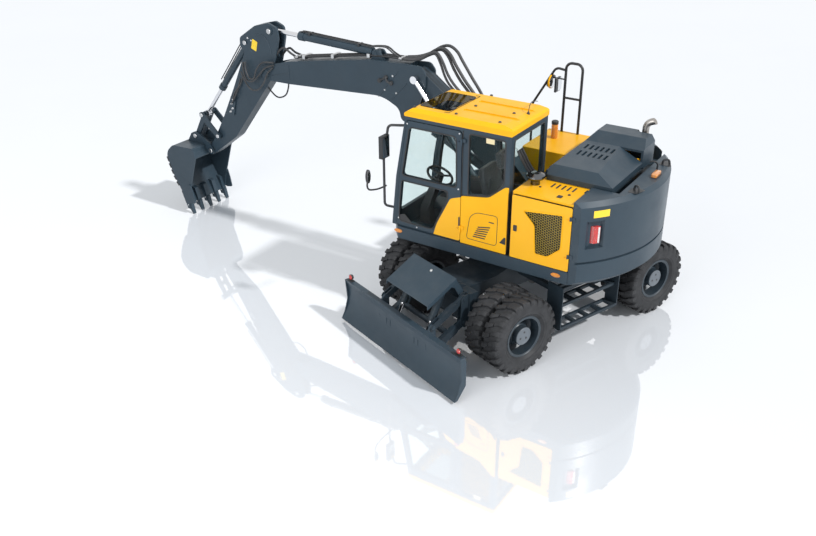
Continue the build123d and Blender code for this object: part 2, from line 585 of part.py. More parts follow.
def blade():
    """Curved mouldboard with a folded top band, end plates, stiffener and pin brackets."""
    low_pin, high_pin = blade_end_pins()
    face = [(BLADE_EDGE_X, BLADE_EDGE_Z), (2372, 150), (2320, 330), (2322, 540)]
    curve = ThreePointArc((face[1][0], 0, face[1][1]), (2318, 0, 300), (face[3][0], 0, face[3][1]))
    band = Polyline((face[3][0], 0, face[3][1]), (2356, 0, BLADE_TOP_Z), (2336, 0, BLADE_TOP_Z), (2302, 0, 545))
    back = ThreePointArc((2302, 0, 545), (2298, 0, 300), (2346, 0, 150))
    toe = Polyline((2346, 0, 150), (BLADE_EDGE_X - 26, 0, BLADE_EDGE_Z), (BLADE_EDGE_X, 0, BLADE_EDGE_Z), (face[1][0], 0, face[1][1]))
    sheet = make_face(Wire([*curve.edges(), *band.edges(), *back.edges(), *toe.edges()]))
    sheet = Pos(0, -BLADE_HALF_WIDTH, 0) * sheet
    parts = [extrude(sheet, amount=2 * BLADE_HALF_WIDTH, dir=(0, 1, 0))]
    end = [(2356, BLADE_TOP_Z, 10), (2290, BLADE_TOP_Z, 20), (2262, 560, 30), (2262, 220, 60), (2390, BLADE_EDGE_Z + 6, 10),
           (BLADE_EDGE_X, BLADE_EDGE_Z, 0), (2380, 150, 60), (2330, 330, 100)]
    for side in (-1, 1):
        y_span = sorted((side * (BLADE_HALF_WIDTH - BLADE_PLATE), side * BLADE_HALF_WIDTH))
        parts.append(side_plate(end, *y_span))
        bracket = [(2310, 250, 0), (2310, 560, 0), (2302, BLADE_TOP_Z - 60, 0), (high_pin[0] + 10, high_pin[1] + 45, 45),
                   (high_pin[0] - 50, high_pin[1] + 10, 45), (low_pin[0] - 50, low_pin[1] - 20, 45), (low_pin[0] + 10, low_pin[1] - 60, 40)]
        y_span = sorted((side * (BLADE_LINK_Y - 15), side * (BLADE_LINK_Y + 15)))
        parts.append(side_plate(bracket, *y_span))
        for pin in (low_pin, high_pin):
            parts.append(cross_pin(pin, side * (BLADE_LINK_Y - 40), side * (BLADE_LINK_Y + 40), 26))
        ear = [(2312, 240, 0), (2312, 440, 0), (BLADE_CYL_LOW[0] - 10, BLADE_CYL_LOW[1] + 46, 40),
               (BLADE_CYL_LOW[0] - 46, BLADE_CYL_LOW[1] - 20, 40), (BLADE_CYL_LOW[0] + 10, BLADE_CYL_LOW[1] - 60, 40)]
        for inner, outer in ((BLADE_CYL_Y - 50, BLADE_CYL_Y - 30), (BLADE_CYL_Y + 30, BLADE_CYL_Y + 50)):
            parts.append(side_plate(ear, *sorted((side * inner, side * outer))))
    parts.append(block((2240, 2310), (-BLADE_LINK_Y + 10, BLADE_LINK_Y - 10), (440, 540)))
    parts.append(block((2270, 2345), (-BLADE_HALF_WIDTH, BLADE_HALF_WIDTH), (BLADE_TOP_Z - 14, BLADE_TOP_Z)))
    return under(join(parts))


def straight_link(start, end, y_centre, half_width, end_radius):
    """A flat bar with round ends between two (x, z) pins."""
    run = (end[0] - start[0], end[1] - start[1])
    length = hypot(*run)
    bar = SlotCenterToCenter(length, 2 * end_radius)
    middle = ((start[0] + end[0]) / 2, y_centre - half_width, (start[1] + end[1]) / 2)
    frame = Plane(origin=middle, x_dir=(run[0], 0, run[1]), z_dir=(0, 1, 0))
    return extrude(frame * bar, amount=2 * half_width, dir=(0, 1, 0))


def blade_rods_pair(rise, end_radius):
    """Two bars from the frame's pins to the blade's, forked at the blade end."""
    start = (BLADE_PIN_X, BLADE_LOW_PIN_Z + rise)
    end = (start[0] + BLADE_LINK_RUN, start[1] - BLADE_LINK_DROP)
    bars = []
    for side in (-1, 1):
        y = side * BLADE_LINK_Y
        slim = straight_link(start, end, y, 20, end_radius)
        mid = (start[0] + 0.30 * BLADE_LINK_RUN, start[1] - 0.30 * BLADE_LINK_DROP)
        wide = straight_link(mid, end, y, 34, end_radius)
        bar = slim.fuse(wide)
        bar = bar - block((end[0] - 110, end[0] + 110), (y - 20, y + 20), (end[1] - 130, end[1] + 130))
        for pin, radius in ((start, 28), (end, 26)):
            bar = bar - cross_pin(pin, y - 60, y + 60, radius + PIN_FIT)
        bars.append(bar)
    return bars


def blade_arms():
    """The lower arms, tied by a cross tube."""
    bars = blade_rods_pair(0, 52)
    tie_x = BLADE_PIN_X + 0.45 * BLADE_LINK_RUN
    tie_z = BLADE_LOW_PIN_Z - 0.45 * BLADE_LINK_DROP
    tie = cross_pin((tie_x, tie_z), -BLADE_LINK_Y, BLADE_LINK_Y, 40)
    return under(join(bars + [tie]))


def blade_links():
    """The upper links."""
    return under(Compound(children=blade_rods_pair(BLADE_LINK_RISE, 42)))


# ---- hydraulic cylinders ------------------------------------------------------------------------------------------

def ram_axis(base, eye):
    """Length and unit direction of a ram from its (x, z) pins."""
    run = (eye[0] - base[0], eye[1] - base[1])
    length = hypot(*run)
    return length, (run[0] / length, run[1] / length)


def ram_barrel(base, eye, y, barrel, radius, rod_radius, pin_radius, eye_half):
    """Base eye, tube and gland head. The bore runs with the rod."""
    _, (dx, dz) = ram_axis(base, eye)

    def at(along):
        return (base[0] + dx * along, y, base[1] + dz * along)

    eye_radius = pin_radius + 26
    neck = eye_radius + 26
    gland = max(70, 0.07 * barrel)
    parts = [cross_pin(base, y - eye_half, y + eye_half, eye_radius),
             rod(at(eye_radius - 20), at(neck + 2), min(eye_half, radius) * 0.98),
             rod(at(neck), at(barrel), radius),
             rod(at(barrel - gland), at(barrel), radius + 9)]
    body = join(parts)
    body = body - rod(at(neck + 14), at(barrel + 10), rod_radius + PIN_FIT)
    return body - cross_pin(base, y - eye_half - 5, y + eye_half + 5, pin_radius + PIN_FIT)


def ram_rod(base, eye, y, barrel, rod_radius, stroke_left, pin_radius, eye_half, engagement=60):
    """Polished rod and its eye, with a blind pin. stroke_left is how far it can still extend."""
    _, (dx, dz) = ram_axis(base, eye)

    def at(along):
        return (base[0] + dx * along, y, base[1] + dz * along)

    inner = barrel - stroke_left - engagement
    outer = hypot(eye[0] - base[0], eye[1] - base[1])
    eye_radius = pin_radius + 24
    parts = [rod(at(inner), at(outer - eye_radius + 12), rod_radius),
             cross_pin(eye, y - eye_half, y + eye_half, eye_radius)]
    return join(parts)


LIFT_STROKE_LEFT = 395
ADJUST_STROKE_LEFT = 285
ARM_STROKE_LEFT = 790
BUCKET_STROKE_LEFT = 480
BLADE_STROKE_LEFT = 85
BLADE_ROD_ENGAGEMENT = 30


def lift_barrels():
    """Both boom lift barrels."""
    return Compound(children=[
        ram_barrel(LIFT_BASE, BOOM_JOINT, BOOM_Y + side * LIFT_CYL_OFFSET, LIFT_BARREL, LIFT_CYL_RADIUS,
                   LIFT_ROD_RADIUS, CYL_PIN_RADIUS, EYE_HALF) for side in (-1, 1)])


def lift_rods():
    """Both boom lift rods."""
    return Compound(children=[
        ram_rod(LIFT_BASE, BOOM_JOINT, BOOM_Y + side * LIFT_CYL_OFFSET, LIFT_BARREL,
                LIFT_ROD_RADIUS, LIFT_STROKE_LEFT, CYL_PIN_RADIUS, EYE_HALF) for side in (-1, 1)])


def blade_barrels():
    """Both blade ram barrels."""
    rams = [ram_barrel(BLADE_CYL_TOP, BLADE_CYL_LOW, side * BLADE_CYL_Y, BLADE_CYL_BARREL, 48, 26, 24, 29)
            for side in (-1, 1)]
    return under(Compound(children=rams))


def blade_rods():
    """Both blade ram rods."""
    rams = [ram_rod(BLADE_CYL_TOP, BLADE_CYL_LOW, side * BLADE_CYL_Y, BLADE_CYL_BARREL, 26, BLADE_STROKE_LEFT, 18, 24,
                    BLADE_ROD_ENGAGEMENT)
            for side in (-1, 1)]
    return under(Compound(children=rams))


# ---- boom, arm, bucket ----------------------------------------------------------------------------------------------

def along_base_boom(rows):
    """Turn (distance from the foot, height over the centre line, radius) rows into (x, z, radius)."""
    length, (dx, dz) = ram_axis(BOOM_FOOT, BOOM_JOINT)
    return [(BOOM_FOOT[0] + s * dx - t * dz, BOOM_FOOT[1] + s * dz + t * dx, r) for s, t, r in rows]


def on_base_boom(point):
    """Distance from the foot and height over the centre line of an (x, z) point."""
    _, (dx, dz) = ram_axis(BOOM_FOOT, BOOM_JOINT)
    x, z = point[0] - BOOM_FOOT[0], point[1] - BOOM_FOOT[1]
    return x * dx + z * dz, z * dx - x * dz


def base_boom():
    """The lower boom: box girder, foot boss, slimmer tip and the adjusting ram's ears."""
    length, _ = ram_axis(BOOM_FOOT, BOOM_JOINT)
    tip = 130
    girder = along_base_boom([(-40, -100, 0), (-40, 100, 0), (420, 175, 200), (length - 480, 150, 0), (length - 480, -165, 0),
                              (700, -165, 300), (120, -115, 120)])
    nose = along_base_boom([(length - 620, -150, 0), (length - 620, 140, 0), (length - 60, tip, 60), (length + 110, tip - 20, 90),
                            (length + 110, -tip + 20, 90), (length - 60, -tip, 60)])
    parts = [side_plate(girder, BOOM_Y - BASE_BOOM_HALF, BOOM_Y + BASE_BOOM_HALF),
             side_plate(nose, BOOM_Y - BASE_TIP_HALF, BOOM_Y + BASE_TIP_HALF),
             cross_pin(BOOM_FOOT, BOOM_Y - BASE_BOOM_HALF, BOOM_Y + BASE_BOOM_HALF, 108)]
    s, t = on_base_boom(ADJUST_BASE)
    ear = along_base_boom([(s - 170, -100, 0), (s + 160, -100, 0), (s + 110, t + 85, 20), (s + 66, t + 55, 20), (s + 66, t - 30, 20),
                           (s + 30, t - 62, 30), (s - 30, t - 62, 30), (s - 75, t - 10, 30)])
    for span in across_boom(EYE_HALF + SIDE_CLEARANCE, EYE_HALF + 35):
        parts.append(side_plate(ear, *span))
    body = join(parts)
    body = body - adjust_eye_room()
    parts = [body, cross_pin(ADJUST_BASE, BOOM_Y - EYE_HALF - 45, BOOM_Y + EYE_HALF + 45, CYL_PIN_RADIUS)]
    body = join(parts)
    for pin in (BOOM_FOOT, BOOM_JOINT):
        body = body - cross_pin(pin, BOOM_Y - 200, BOOM_Y + 200, 45 + PIN_FIT)
    return body


def adjust_eye_room():
    """The room that the adjusting ram's base eye needs in the lower boom's underside."""
    return cross_pin(ADJUST_BASE, BOOM_Y - EYE_HALF - SIDE_CLEARANCE, BOOM_Y + EYE_HALF + SIDE_CLEARANCE, CYL_PIN_RADIUS + 40)


def upper_boom():
    """The outer boom: forked over the lower boom's tip, deep lobe for the ram, fork for the arm."""
    x, z = BOOM_JOINT
    outline = [(x - 150, z + 90, 90), (x - 70, z + 185, 90), (2700, 3195, 600), (4200, 2960, 60), (4790, 2800, 80), (4790, 2610, 80),
               (4560, 2600, 60), (4220, 2605, 60), (2480, 2700, 600), (2190, 2560, 160), (2160, 2390, 90), (1960, 2370, 90), (1890, 2600, 200),
               (x - 150, z - 90, 90)]
    body = side_plate(outline, BOOM_Y - UPPER_BOOM_HALF, BOOM_Y + UPPER_BOOM_HALF)
    rear_slot = [(x - 300, z - 200, 0), (x - 300, z + 300, 0), (x + 150, z + 300, 0), (x + 150, z - 100, 60), (x + 190, z - 420, 60),
                 (x + 380, 2300, 0), (x - 60, 2250, 0)]
    front_slot = [(4330, 2500, 0), (4330, 3100, 0), (4900, 3100, 0), (4900, 2500, 0)]
    span = (BOOM_Y - CHEEK_INSIDE, BOOM_Y + CHEEK_INSIDE)
    body = body - side_plate(rear_slot, *span)
    body = body - side_plate(front_slot, BOOM_Y - ARM_HALF - SIDE_CLEARANCE, BOOM_Y + ARM_HALF + SIDE_CLEARANCE)
    parts = [body]
    parts.append(cross_pin(BOOM_JOINT, BOOM_Y - UPPER_BOOM_HALF, BOOM_Y + UPPER_BOOM_HALF, 45))
    parts.append(cross_pin(ARM_PIVOT, BOOM_Y - UPPER_BOOM_HALF - 14, BOOM_Y + UPPER_BOOM_HALF + 14, 42))
    ear = [(ARM_CYL_BASE[0] - 190, ARM_CYL_BASE[1] - 120, 0), (ARM_CYL_BASE[0] - 60, ARM_CYL_BASE[1] + 50, 50),
           (ARM_CYL_BASE[0] + 58, ARM_CYL_BASE[1] + 50, 50), (ARM_CYL_BASE[0] + 62, ARM_CYL_BASE[1] - 72, 20),
           (ARM_CYL_BASE[0] + 180, ARM_CYL_BASE[1] - 130, 0)]
    for span in across_boom(EYE_HALF + SIDE_CLEARANCE, EYE_HALF + 32):
        parts.append(side_plate(ear, *span))
    parts.append(cross_pin(ARM_CYL_BASE, BOOM_Y - EYE_HALF - 40, BOOM_Y + EYE_HALF + 40, CYL_PIN_RADIUS))
    return join(parts)


def arm():
    """The arm: box girder with a forked head for two rams, and a slim tip."""
    outline = [(4425, 3260, 60), (4440, 3420, 70), (4600, 3480, 90), (4880, 3410, 200), (5215, 3190, 70), (5225, 3050, 60), (5130, 2985, 60),
               (5450, 2345, 500), (5740, 1810, 400), (5965, 1440, 60), (6150, 1195, 40), (6140, 1095, 40), (6055, 1095, 40),
               (5500, 1500, 300), (4660, 2560, 100), (4600, 2660, 80), (4500, 2960, 150)]
    body = side_plate(outline, BOOM_Y - ARM_HALF, BOOM_Y + ARM_HALF)
    x, z = ARM_CYL_EYE
    rod_slot = [(x - 250, z - 480, 0), (x - 60, z - 420, 60), (x + 130, z - 100, 60), (x + 130, z + 160, 0), (x - 250, z + 160, 0)]
    x, z = BUCKET_CYL_BASE
    barrel_slot = [(x - 70, z - 30, 60), (x - 60, z + 60, 60), (x + 30, z + 80, 60), (x + 200, z + 60, 0), (x + 200, z - 200, 0),
                   (x + 20, z - 220, 0)]
    span = (BOOM_Y - HEAD_SLOT_HALF, BOOM_Y + HEAD_SLOT_HALF)
    body = body - side_plate(rod_slot, *span) - side_plate(barrel_slot, *span)
    parts = [body, cross_pin(BUCKET_CYL_BASE, BOOM_Y - ARM_HALF - 12, BOOM_Y + ARM_HALF + 12, CYL_PIN_RADIUS)]
    for pin in (ARM_CYL_EYE, BUCKET_CYL_BASE):
        for y_low, y_high in across_boom(EYE_HALF + SIDE_CLEARANCE, HEAD_SLOT_HALF + 5):
            parts.append(cross_pin(pin, y_low, y_high, 54))
    parts.append(cross_pin(SIDE_LINK_PIN, BOOM_Y - SIDE_LINK_INSIDE - SIDE_LINK_PLATE, BOOM_Y + SIDE_LINK_INSIDE + SIDE_LINK_PLATE, 28))
    parts.append(cross_pin(SIDE_LINK_PIN, BOOM_Y - SIDE_LINK_INSIDE + SIDE_CLEARANCE, BOOM_Y + SIDE_LINK_INSIDE - SIDE_CLEARANCE, 50))
    parts.append(cross_pin(BUCKET_PIVOT, BOOM_Y - ARM_HALF - 2, BOOM_Y + ARM_HALF + 2, 70))
    for y_low, y_high in across_boom(ARM_HALF, ARM_HALF + 12):
        parts.append(cross_pin(ARM_CYL_EYE, y_low, y_high, 62))
    body = join(parts)
    body = body - cross_pin(ARM_PIVOT, BOOM_Y - 200, BOOM_Y + 200, 42 + PIN_FIT)
    return body - cross_pin(BUCKET_PIVOT, BOOM_Y - 200, BOOM_Y + 200, 34 + PIN_FIT)


def bucket():
    """Curved shell between side plates, ears on top, and five teeth on a thick lip."""
    outline = [(6176, 1085, 20), (6222, 1250, 40), (6690, 1232, 130), (6890, 1060, 200), (6760, 680, 300), (6600, 400, 60), (6490, 170, 0),
               (6455, 185, 0), (6400, 430, 0)]
    solid = side_plate(outline, BOOM_Y - BUCKET_HALF_WIDTH, BOOM_Y + BUCKET_HALF_WIDTH)
    hollow = [(6100, 1000, 0), (6200, 1092, 10), (6241, 1227, 20), (6680, 1210, 110), (6864, 1060, 180), (6738, 690, 280), (6580, 412, 50),
              (6474, 190, 0), (6440, 160, 0), (6200, 160, 0)]
    body = solid - side_plate(hollow, BOOM_Y - BUCKET_HALF_WIDTH + BUCKET_PLATE, BOOM_Y + BUCKET_HALF_WIDTH - BUCKET_PLATE)
    parts = [body]
    ear = [(BUCKET_PIVOT[0] - 62, BUCKET_PIVOT[1] + 10, 62), (BUCKET_PIVOT[0] + 10, BUCKET_PIVOT[1] + 120, 60), (6330, 1400, 60), (6440, 1430, 60),
           (6530, 1390, 60), (6640, 1220, 0), (6226, 1232, 0), (6180, 1120, 0), (BUCKET_PIVOT[0] + 40, BUCKET_PIVOT[1] - 66, 40),
           (BUCKET_PIVOT[0] - 40, BUCKET_PIVOT[1] - 66, 40)]
    for span in across_boom(EAR_INSIDE, EAR_INSIDE + EAR_PLATE):
        parts.append(side_plate(ear, *span))
    parts.append(cross_pin(BUCKET_PIVOT, BOOM_Y - EAR_INSIDE - EAR_PLATE - 5, BOOM_Y + EAR_INSIDE + EAR_PLATE + 5, 34))
    pitch = (2 * BUCKET_HALF_WIDTH - TOOTH_WIDTH) / (TOOTH_COUNT - 1)
    for index in range(TOOTH_COUNT):
        y = BOOM_Y - BUCKET_HALF_WIDTH + TOOTH_WIDTH / 2 + index * pitch
        parts += [tooth_holder(y), tooth_point(y)]
    for side in (-1, 1):
        cutter = [(6360, 560, 20), (6420, 560, 0), (6480, 260, 0), (6420, 210, 30), (6290, 235, 20), (6320, 420, 60)]
        edge = BOOM_Y + side * BUCKET_HALF_WIDTH
        parts.append(side_plate(cutter, *sorted((edge, edge + side * 20))))
    return join(parts)


def tooth_holder(y):
    """The forged holder that straps over the lip."""
    strap = [(6560, 420, 20), (6620, 400, 20), (6540, 190, 0), (6500, 90, 10), (6450, 90, 10), (6440, 200, 0), (6500, 400, 20)]
    return side_plate(strap, y - TOOTH_WIDTH / 2, y + TOOTH_WIDTH / 2)


def tooth_point(y):
    """The wedge point."""
    wedge = [(6525, 170, 10), (6400, 0, 4), (6384, 6, 4), (6424, 190, 10)]
    return side_plate(wedge, y - TOOTH_WIDTH * 0.38, y + TOOTH_WIDTH * 0.38)


def bucket_side_links():
    """The two bars from the arm to the ram's pin."""
    bars = []
    spans = across_boom(SIDE_LINK_INSIDE, SIDE_LINK_INSIDE + SIDE_LINK_PLATE)
    for way, (y_low, y_high) in zip((-1, 1), spans):
        middle = (y_low + y_high) / 2
        bar = straight_link(SIDE_LINK_PIN, BUCKET_LINK_PIN, middle, SIDE_LINK_PLATE / 2, 52)
        bar = bar - cross_pin(SIDE_LINK_PIN, y_low - 5, y_high + 5, 28 + PIN_FIT)
        inner = sorted((BOOM_Y + way * (BUCKET_LINK_INSIDE + 2), BOOM_Y + way * (SIDE_LINK_INSIDE + 2)))
        bars.append(bar + cross_pin(BUCKET_LINK_PIN, *inner, LINK_PIN_RADIUS))
    return Compound(children=bars)


def bucket_link():
    """The fork from the ram's pin down to the bucket's ears, with its cross tube."""
    parts = []
    for y_low, y_high in across_boom(BUCKET_LINK_INSIDE, BUCKET_LINK_INSIDE + BUCKET_LINK_PLATE):
        parts.append(straight_link(BUCKET_LINK_PIN, BUCKET_EAR_PIN, (y_low + y_high) / 2, BUCKET_LINK_PLATE / 2, 44))
    middle = ((BUCKET_LINK_PIN[0] + BUCKET_EAR_PIN[0]) / 2, (BUCKET_LINK_PIN[1] + BUCKET_EAR_PIN[1]) / 2)
    parts.append(cross_pin(middle, BOOM_Y - BUCKET_LINK_INSIDE - 5, BOOM_Y + BUCKET_LINK_INSIDE + 5, 42))
    return join(parts) - cross_pin(BUCKET_LINK_PIN, BOOM_Y - 150, BOOM_Y + 150, LINK_PIN_RADIUS + PIN_FIT)


# ---- upper machine ------------------------------------------------------------------------------------------------

def upper_frame():
    """Swing plate, deck with the boom slot, foot plates and lift ram brackets."""
    plate = [(-1000, -420, 60), (-1000, 420, 60), (700, 420, 60), (740, -420, 60)]
    slot = 128
    deck = [(TAIL_X, -UPPER_HALF_WIDTH + 4, 0), (TAIL_X, UPPER_HALF_WIDTH - 4, 0), (UPPER_FRONT_X - 130, UPPER_HALF_WIDTH - 4, 60),
            (UPPER_FRONT_X - 4, UPPER_HALF_WIDTH - 150, 60), (UPPER_FRONT_X - 4, BOOM_Y + slot + 10, 0), (760, BOOM_Y + slot, 30),
            (760, BOOM_Y - slot, 30), (UPPER_FRONT_X - 4, BOOM_Y - slot - 10, 0), (UPPER_FRONT_X - 4, -UPPER_HALF_WIDTH + 150, 60),
            (UPPER_FRONT_X - 130, -UPPER_HALF_WIDTH + 4, 60)]
    parts = [plan_plate(plate, RING_TOP_Z + BODY_GAP, DECK_BOTTOM_Z), plan_plate(deck, DECK_BOTTOM_Z, DECK_TOP_Z)]
    foot = [(-345, DECK_TOP_Z - 10, 0), (-320, 1500, 120), (-80, 1790, 90), (60, 1830, 60), (190, 1780, 80), (260, 1500, 150), (380, DECK_TOP_Z - 10, 0)]
    for span in across_boom(BASE_BOOM_HALF + 3, BASE_BOOM_HALF + 3 + FOOT_PLATE):
        parts.append(side_plate(foot, *span))
    parts.append(cross_pin(BOOM_FOOT, BOOM_Y - 170, BOOM_Y + 170, 45))
    bracket = [(390, DECK_TOP_Z - 10, 0), (420, 1330, 60), (470, 1368, 40), (540, 1368, 40), (590, 1310, 50), (680, DECK_TOP_Z - 10, 0)]
    eye = EYE_HALF + SIDE_CLEARANCE
    room = LIFT_CYL_RADIUS + SIDE_CLEARANCE
    for side in (-1, 1):
        y = BOOM_Y + side * LIFT_CYL_OFFSET
        for way in (-1, 1):
            parts.append(side_plate(bracket, *sorted((y + way * room, y + way * (room + BRACKET_PLATE)))))
            parts.append(cross_pin(LIFT_BASE, *sorted((y + way * eye, y + way * (room + 1))), CYL_PIN_RADIUS + 18))
        reach = room + BRACKET_PLATE + 6
        parts.append(cross_pin(LIFT_BASE, y - reach, y + reach, CYL_PIN_RADIUS))
    return join(parts)


def deck_skirt():
    """The folded edge rails round the deck, with rounded front corners."""
    outer = UPPER_HALF_WIDTH
    inner = UPPER_HALF_WIDTH - SKIRT_THICKNESS
    parts = []
    left = [(TAIL_X + 4, outer, 0), (UPPER_FRONT_X - 130, outer, 80), (UPPER_FRONT_X, outer - 150, 80), (UPPER_FRONT_X, CAB_RIGHT_Y, 0),
            (UPPER_FRONT_X - SKIRT_THICKNESS, CAB_RIGHT_Y, 0), (UPPER_FRONT_X - SKIRT_THICKNESS, outer - 162, 60),
            (UPPER_FRONT_X - 142, inner, 60), (TAIL_X + 4, inner, 0)]
    parts.append(plan_plate(left, DECK_TOP_Z, SKIRT_TOP_Z))
    right = [(x, -y, r) for x, y, r in left]
    right[3] = (UPPER_FRONT_X, -380, 0)
    right[4] = (UPPER_FRONT_X - SKIRT_THICKNESS, -380, 0)
    parts.append(plan_plate(right, DECK_TOP_Z, SKIRT_TOP_Z))
    return Compound(children=parts)


def tail_x(y):
    """How far back the round tail reaches at a distance from the middle."""
    return -sqrt(TAIL_RADIUS ** 2 - y ** 2)


def counterweight():
    """The round tail casting with a stepped top, side pockets and a cut for the hood."""
    tail = rod((0, 0, TAIL_BOTTOM_Z), (0, 0, COUNTERWEIGHT_TOP_Z), TAIL_RADIUS)
    body = tail & block((-2 * TAIL_RADIUS, TAIL_X), (-UPPER_HALF_WIDTH, UPPER_HALF_WIDTH), (TAIL_BOTTOM_Z - 100, COUNTERWEIGHT_TOP_Z + 100))
    low_lip = body.edges().filter_by(GeomType.CIRCLE).sort_by(Axis.Z)
    body = chamfer([low_lip[0], low_lip[-1]], 55)
    groove = turned_round([(1500, TAIL_RADIUS - 22), (1500, TAIL_RADIUS + 60), (1530, TAIL_RADIUS + 60), (1530, TAIL_RADIUS - 22)],
                          (0, 0, 0), (0, 0, 1))
    body = body - groove
    flange = block((TAIL_X - 60, TAIL_X), (-UPPER_HALF_WIDTH, UPPER_HALF_WIDTH), (TAIL_BOTTOM_Z + 60, COUNTERWEIGHT_TOP_Z - 60))
    body = join([body, flange])
    for side in (-1, 1):
        y_span = sorted(side * y for y in TAIL_POCKET_Y)
        pocket = block((tail_x(TAIL_POCKET_Y[0]) - 60, tail_x(TAIL_POCKET_Y[0]) + 157), y_span, (TAIL_LAMP_Z[0] - 60, TAIL_LAMP_Z[1] + 80))
        body = body - (pocket - rod((0, 0, 1600), (0, 0, 2200), TAIL_RADIUS - 45))
    body = body - block((-1400, TAIL_X + 10), (-1100, 720), (TAIL_RECESS_Z, 2400))
    parts = [body]
    for z in SERVICE_HINGE_ZS:
        parts += hinge_fixed((SERVICE_HINGE_X, SERVICE_HINGE_Y), z, -1, UPPER_HALF_WIDTH)
    return join(parts)


def cab_profile(inset):
    """The cab's side outline as (x, z, radius), moved inwards by inset."""
    return [(CAB_REAR_X + inset, DECK_TOP_Z + inset, 10), (CAB_REAR_X + inset, CAB_ROOF_Z, 10), (1335 - inset, CAB_ROOF_Z, 10),
            (1488 - inset, 2080, 400), (1560 - inset, 1400, 60), (1560 - inset, DECK_TOP_Z + inset, 10)]


def cab_shell():
    """Hollow cab with its door opening and all windows cut."""
    body = side_plate(cab_profile(0), CAB_RIGHT_Y, CAB_LEFT_Y)
    room = cab_profile(CAB_WALL)
    room[1] = (CAB_REAR_X + CAB_WALL, CAB_ROOF_Z + 20, 0)
    room[2] = (1330 - CAB_WALL, CAB_ROOF_Z + 20, 0)
    body = body - side_plate(room, CAB_RIGHT_Y + CAB_WALL, CAB_LEFT_Y - CAB_WALL)
    body = body - side_plate(door_outline(0), CAB_LEFT_Y - CAB_WALL - 20, CAB_LEFT_Y + 20)
    body = body - windscreen(CAB_WALL + 30)
    body = body - rear_window(CAB_WALL + 30)
    for outline in right_windows():
        body = body - side_plate(outline, CAB_RIGHT_Y - 20, CAB_RIGHT_Y + CAB_WALL + 20)
    corner = [(1395, 1260, 0), (1600, 1260, 0), (1600, CAB_RIGHT_Y - 10, 0), (1545, CAB_RIGHT_Y - 10, 0), (1545, 1085, 0)]
    body = body - plan_plate(corner, DECK_TOP_Z - 10, SKIRT_TOP_Z + 4)
    body = body - side_plate(quarter_window(), CAB_LEFT_Y - CAB_WALL - 20, CAB_LEFT_Y + 20)
    return join([body] + hinge_fixed((DOOR_REAR_X, DOOR_HINGE_Y), DOOR_HINGE_Z, -1, CAB_LEFT_Y))


def door_outline(inset):
    """The door's outline in side view; inset leaves the running gap."""
    return [(DOOR_REAR_X + inset, DOOR_BOTTOM_Z + inset, 30), (DOOR_REAR_X + inset, 2880 - inset, 50), (1312 - inset, 2880 - inset, 40),
            (1440 - inset, 2080, 400), (1502 - inset, DOOR_BOTTOM_Z + inset, 60)]


def quarter_window():
    """The window behind the door, its lower edge swept up to the rear."""
    return [(395, 2860, 40), (-110, 2860, 40), (-110, 2300, 60), (60, 2110, 100), (395, 2050, 30)]


def right_windows():
    """Two windows on the boom side."""
    return ([(-110, 1900, 40), (-110, 2860, 40), (460, 2860, 40), (460, 1900, 40)],
            [(520, 1560, 40), (520, 2860, 40), (1268, 2860, 40), (1390, 2080, 300), (1440, 1560, 60)])


def windscreen(depth):
    """The front window, cut or filled to a depth behind the cab's face."""
    outline = [(1335, 2870, 0), (1488, 2080, 400), (1545, 1540, 0), (1545 - depth, 1540, 0), (1488 - depth, 2080, 400), (1335 - depth, 2870, 0)]
    face = [(x + 12, z, r) for x, z, r in outline[:3]] + outline[3:]
    return side_plate(face, CAB_RIGHT_Y + 60, CAB_LEFT_Y - 60)


def rear_window(depth):
    """The rear window, cut to a depth."""
    return block((CAB_REAR_X - 10, CAB_REAR_X + depth), (CAB_RIGHT_Y + 90, CAB_LEFT_Y - 90), (2120, 2860))


def cab_glass():
    """All fixed panes, each flush in its opening, and the roof skylight."""
    front = [(1335, 2870, 0), (1488, 2080, 400), (1545, 1540, 0), (1545 - GLASS, 1540, 0), (1488 - GLASS, 2080, 400), (1335 - GLASS, 2870, 0)]
    front = [(x - 6, z, r) for x, z, r in front]
    parts = [side_plate(front, CAB_RIGHT_Y + 60, CAB_LEFT_Y - 60)]
    for outline in right_windows():
        parts.append(side_plate(outline, CAB_RIGHT_Y + 10, CAB_RIGHT_Y + 10 + GLASS))
    parts.append(side_plate(quarter_window(), CAB_LEFT_Y - 10 - GLASS, CAB_LEFT_Y - 10))
    parts.append(block((CAB_REAR_X + 10, CAB_REAR_X + 10 + GLASS), (CAB_RIGHT_Y + 90, CAB_LEFT_Y - 90), (2120, 2860)))
    return Compound(children=parts)


def cab_door():
    """The door's frame with an upper window and a lower glass that sweeps up to the rear."""
    body = side_plate(door_outline(DOOR_GAP), CAB_LEFT_Y - CAB_WALL + 4, CAB_LEFT_Y + 8)
    for outline in door_windows():
        body = body - side_plate(outline, CAB_LEFT_Y - CAB_WALL - 20, CAB_LEFT_Y + 20)
    axis_xy = (DOOR_REAR_X, DOOR_HINGE_Y)
    for z in (DOOR_HINGE_Z, DOOR_LOW_HINGE_Z):
        body = join([body] + hinge_eye(axis_xy, z, 1, CAB_LEFT_Y + 8)) - hinge_bore(axis_xy, z)
    return body


def door_windows():
    """Upper and lower glass openings of the door."""
    upper = [(575, 2790, 60), (1268, 2790, 60), (1388, 2110, 40), (560, 2110, 60)]
    lower = [(690, 2035, 30), (1395, 2035, 30), (1440, 1600, 200), (1440, 1440, 60), (900, 1440, 80), (860, 1560, 120), (690, 1900, 60)]
    return upper, lower


def cab_door_glass():
    """The door's two panes."""
    middle = CAB_LEFT_Y - CAB_WALL / 2
    panes = [side_plate(outline, middle, middle + GLASS) for outline in door_windows()]
    return Compound(children=panes)


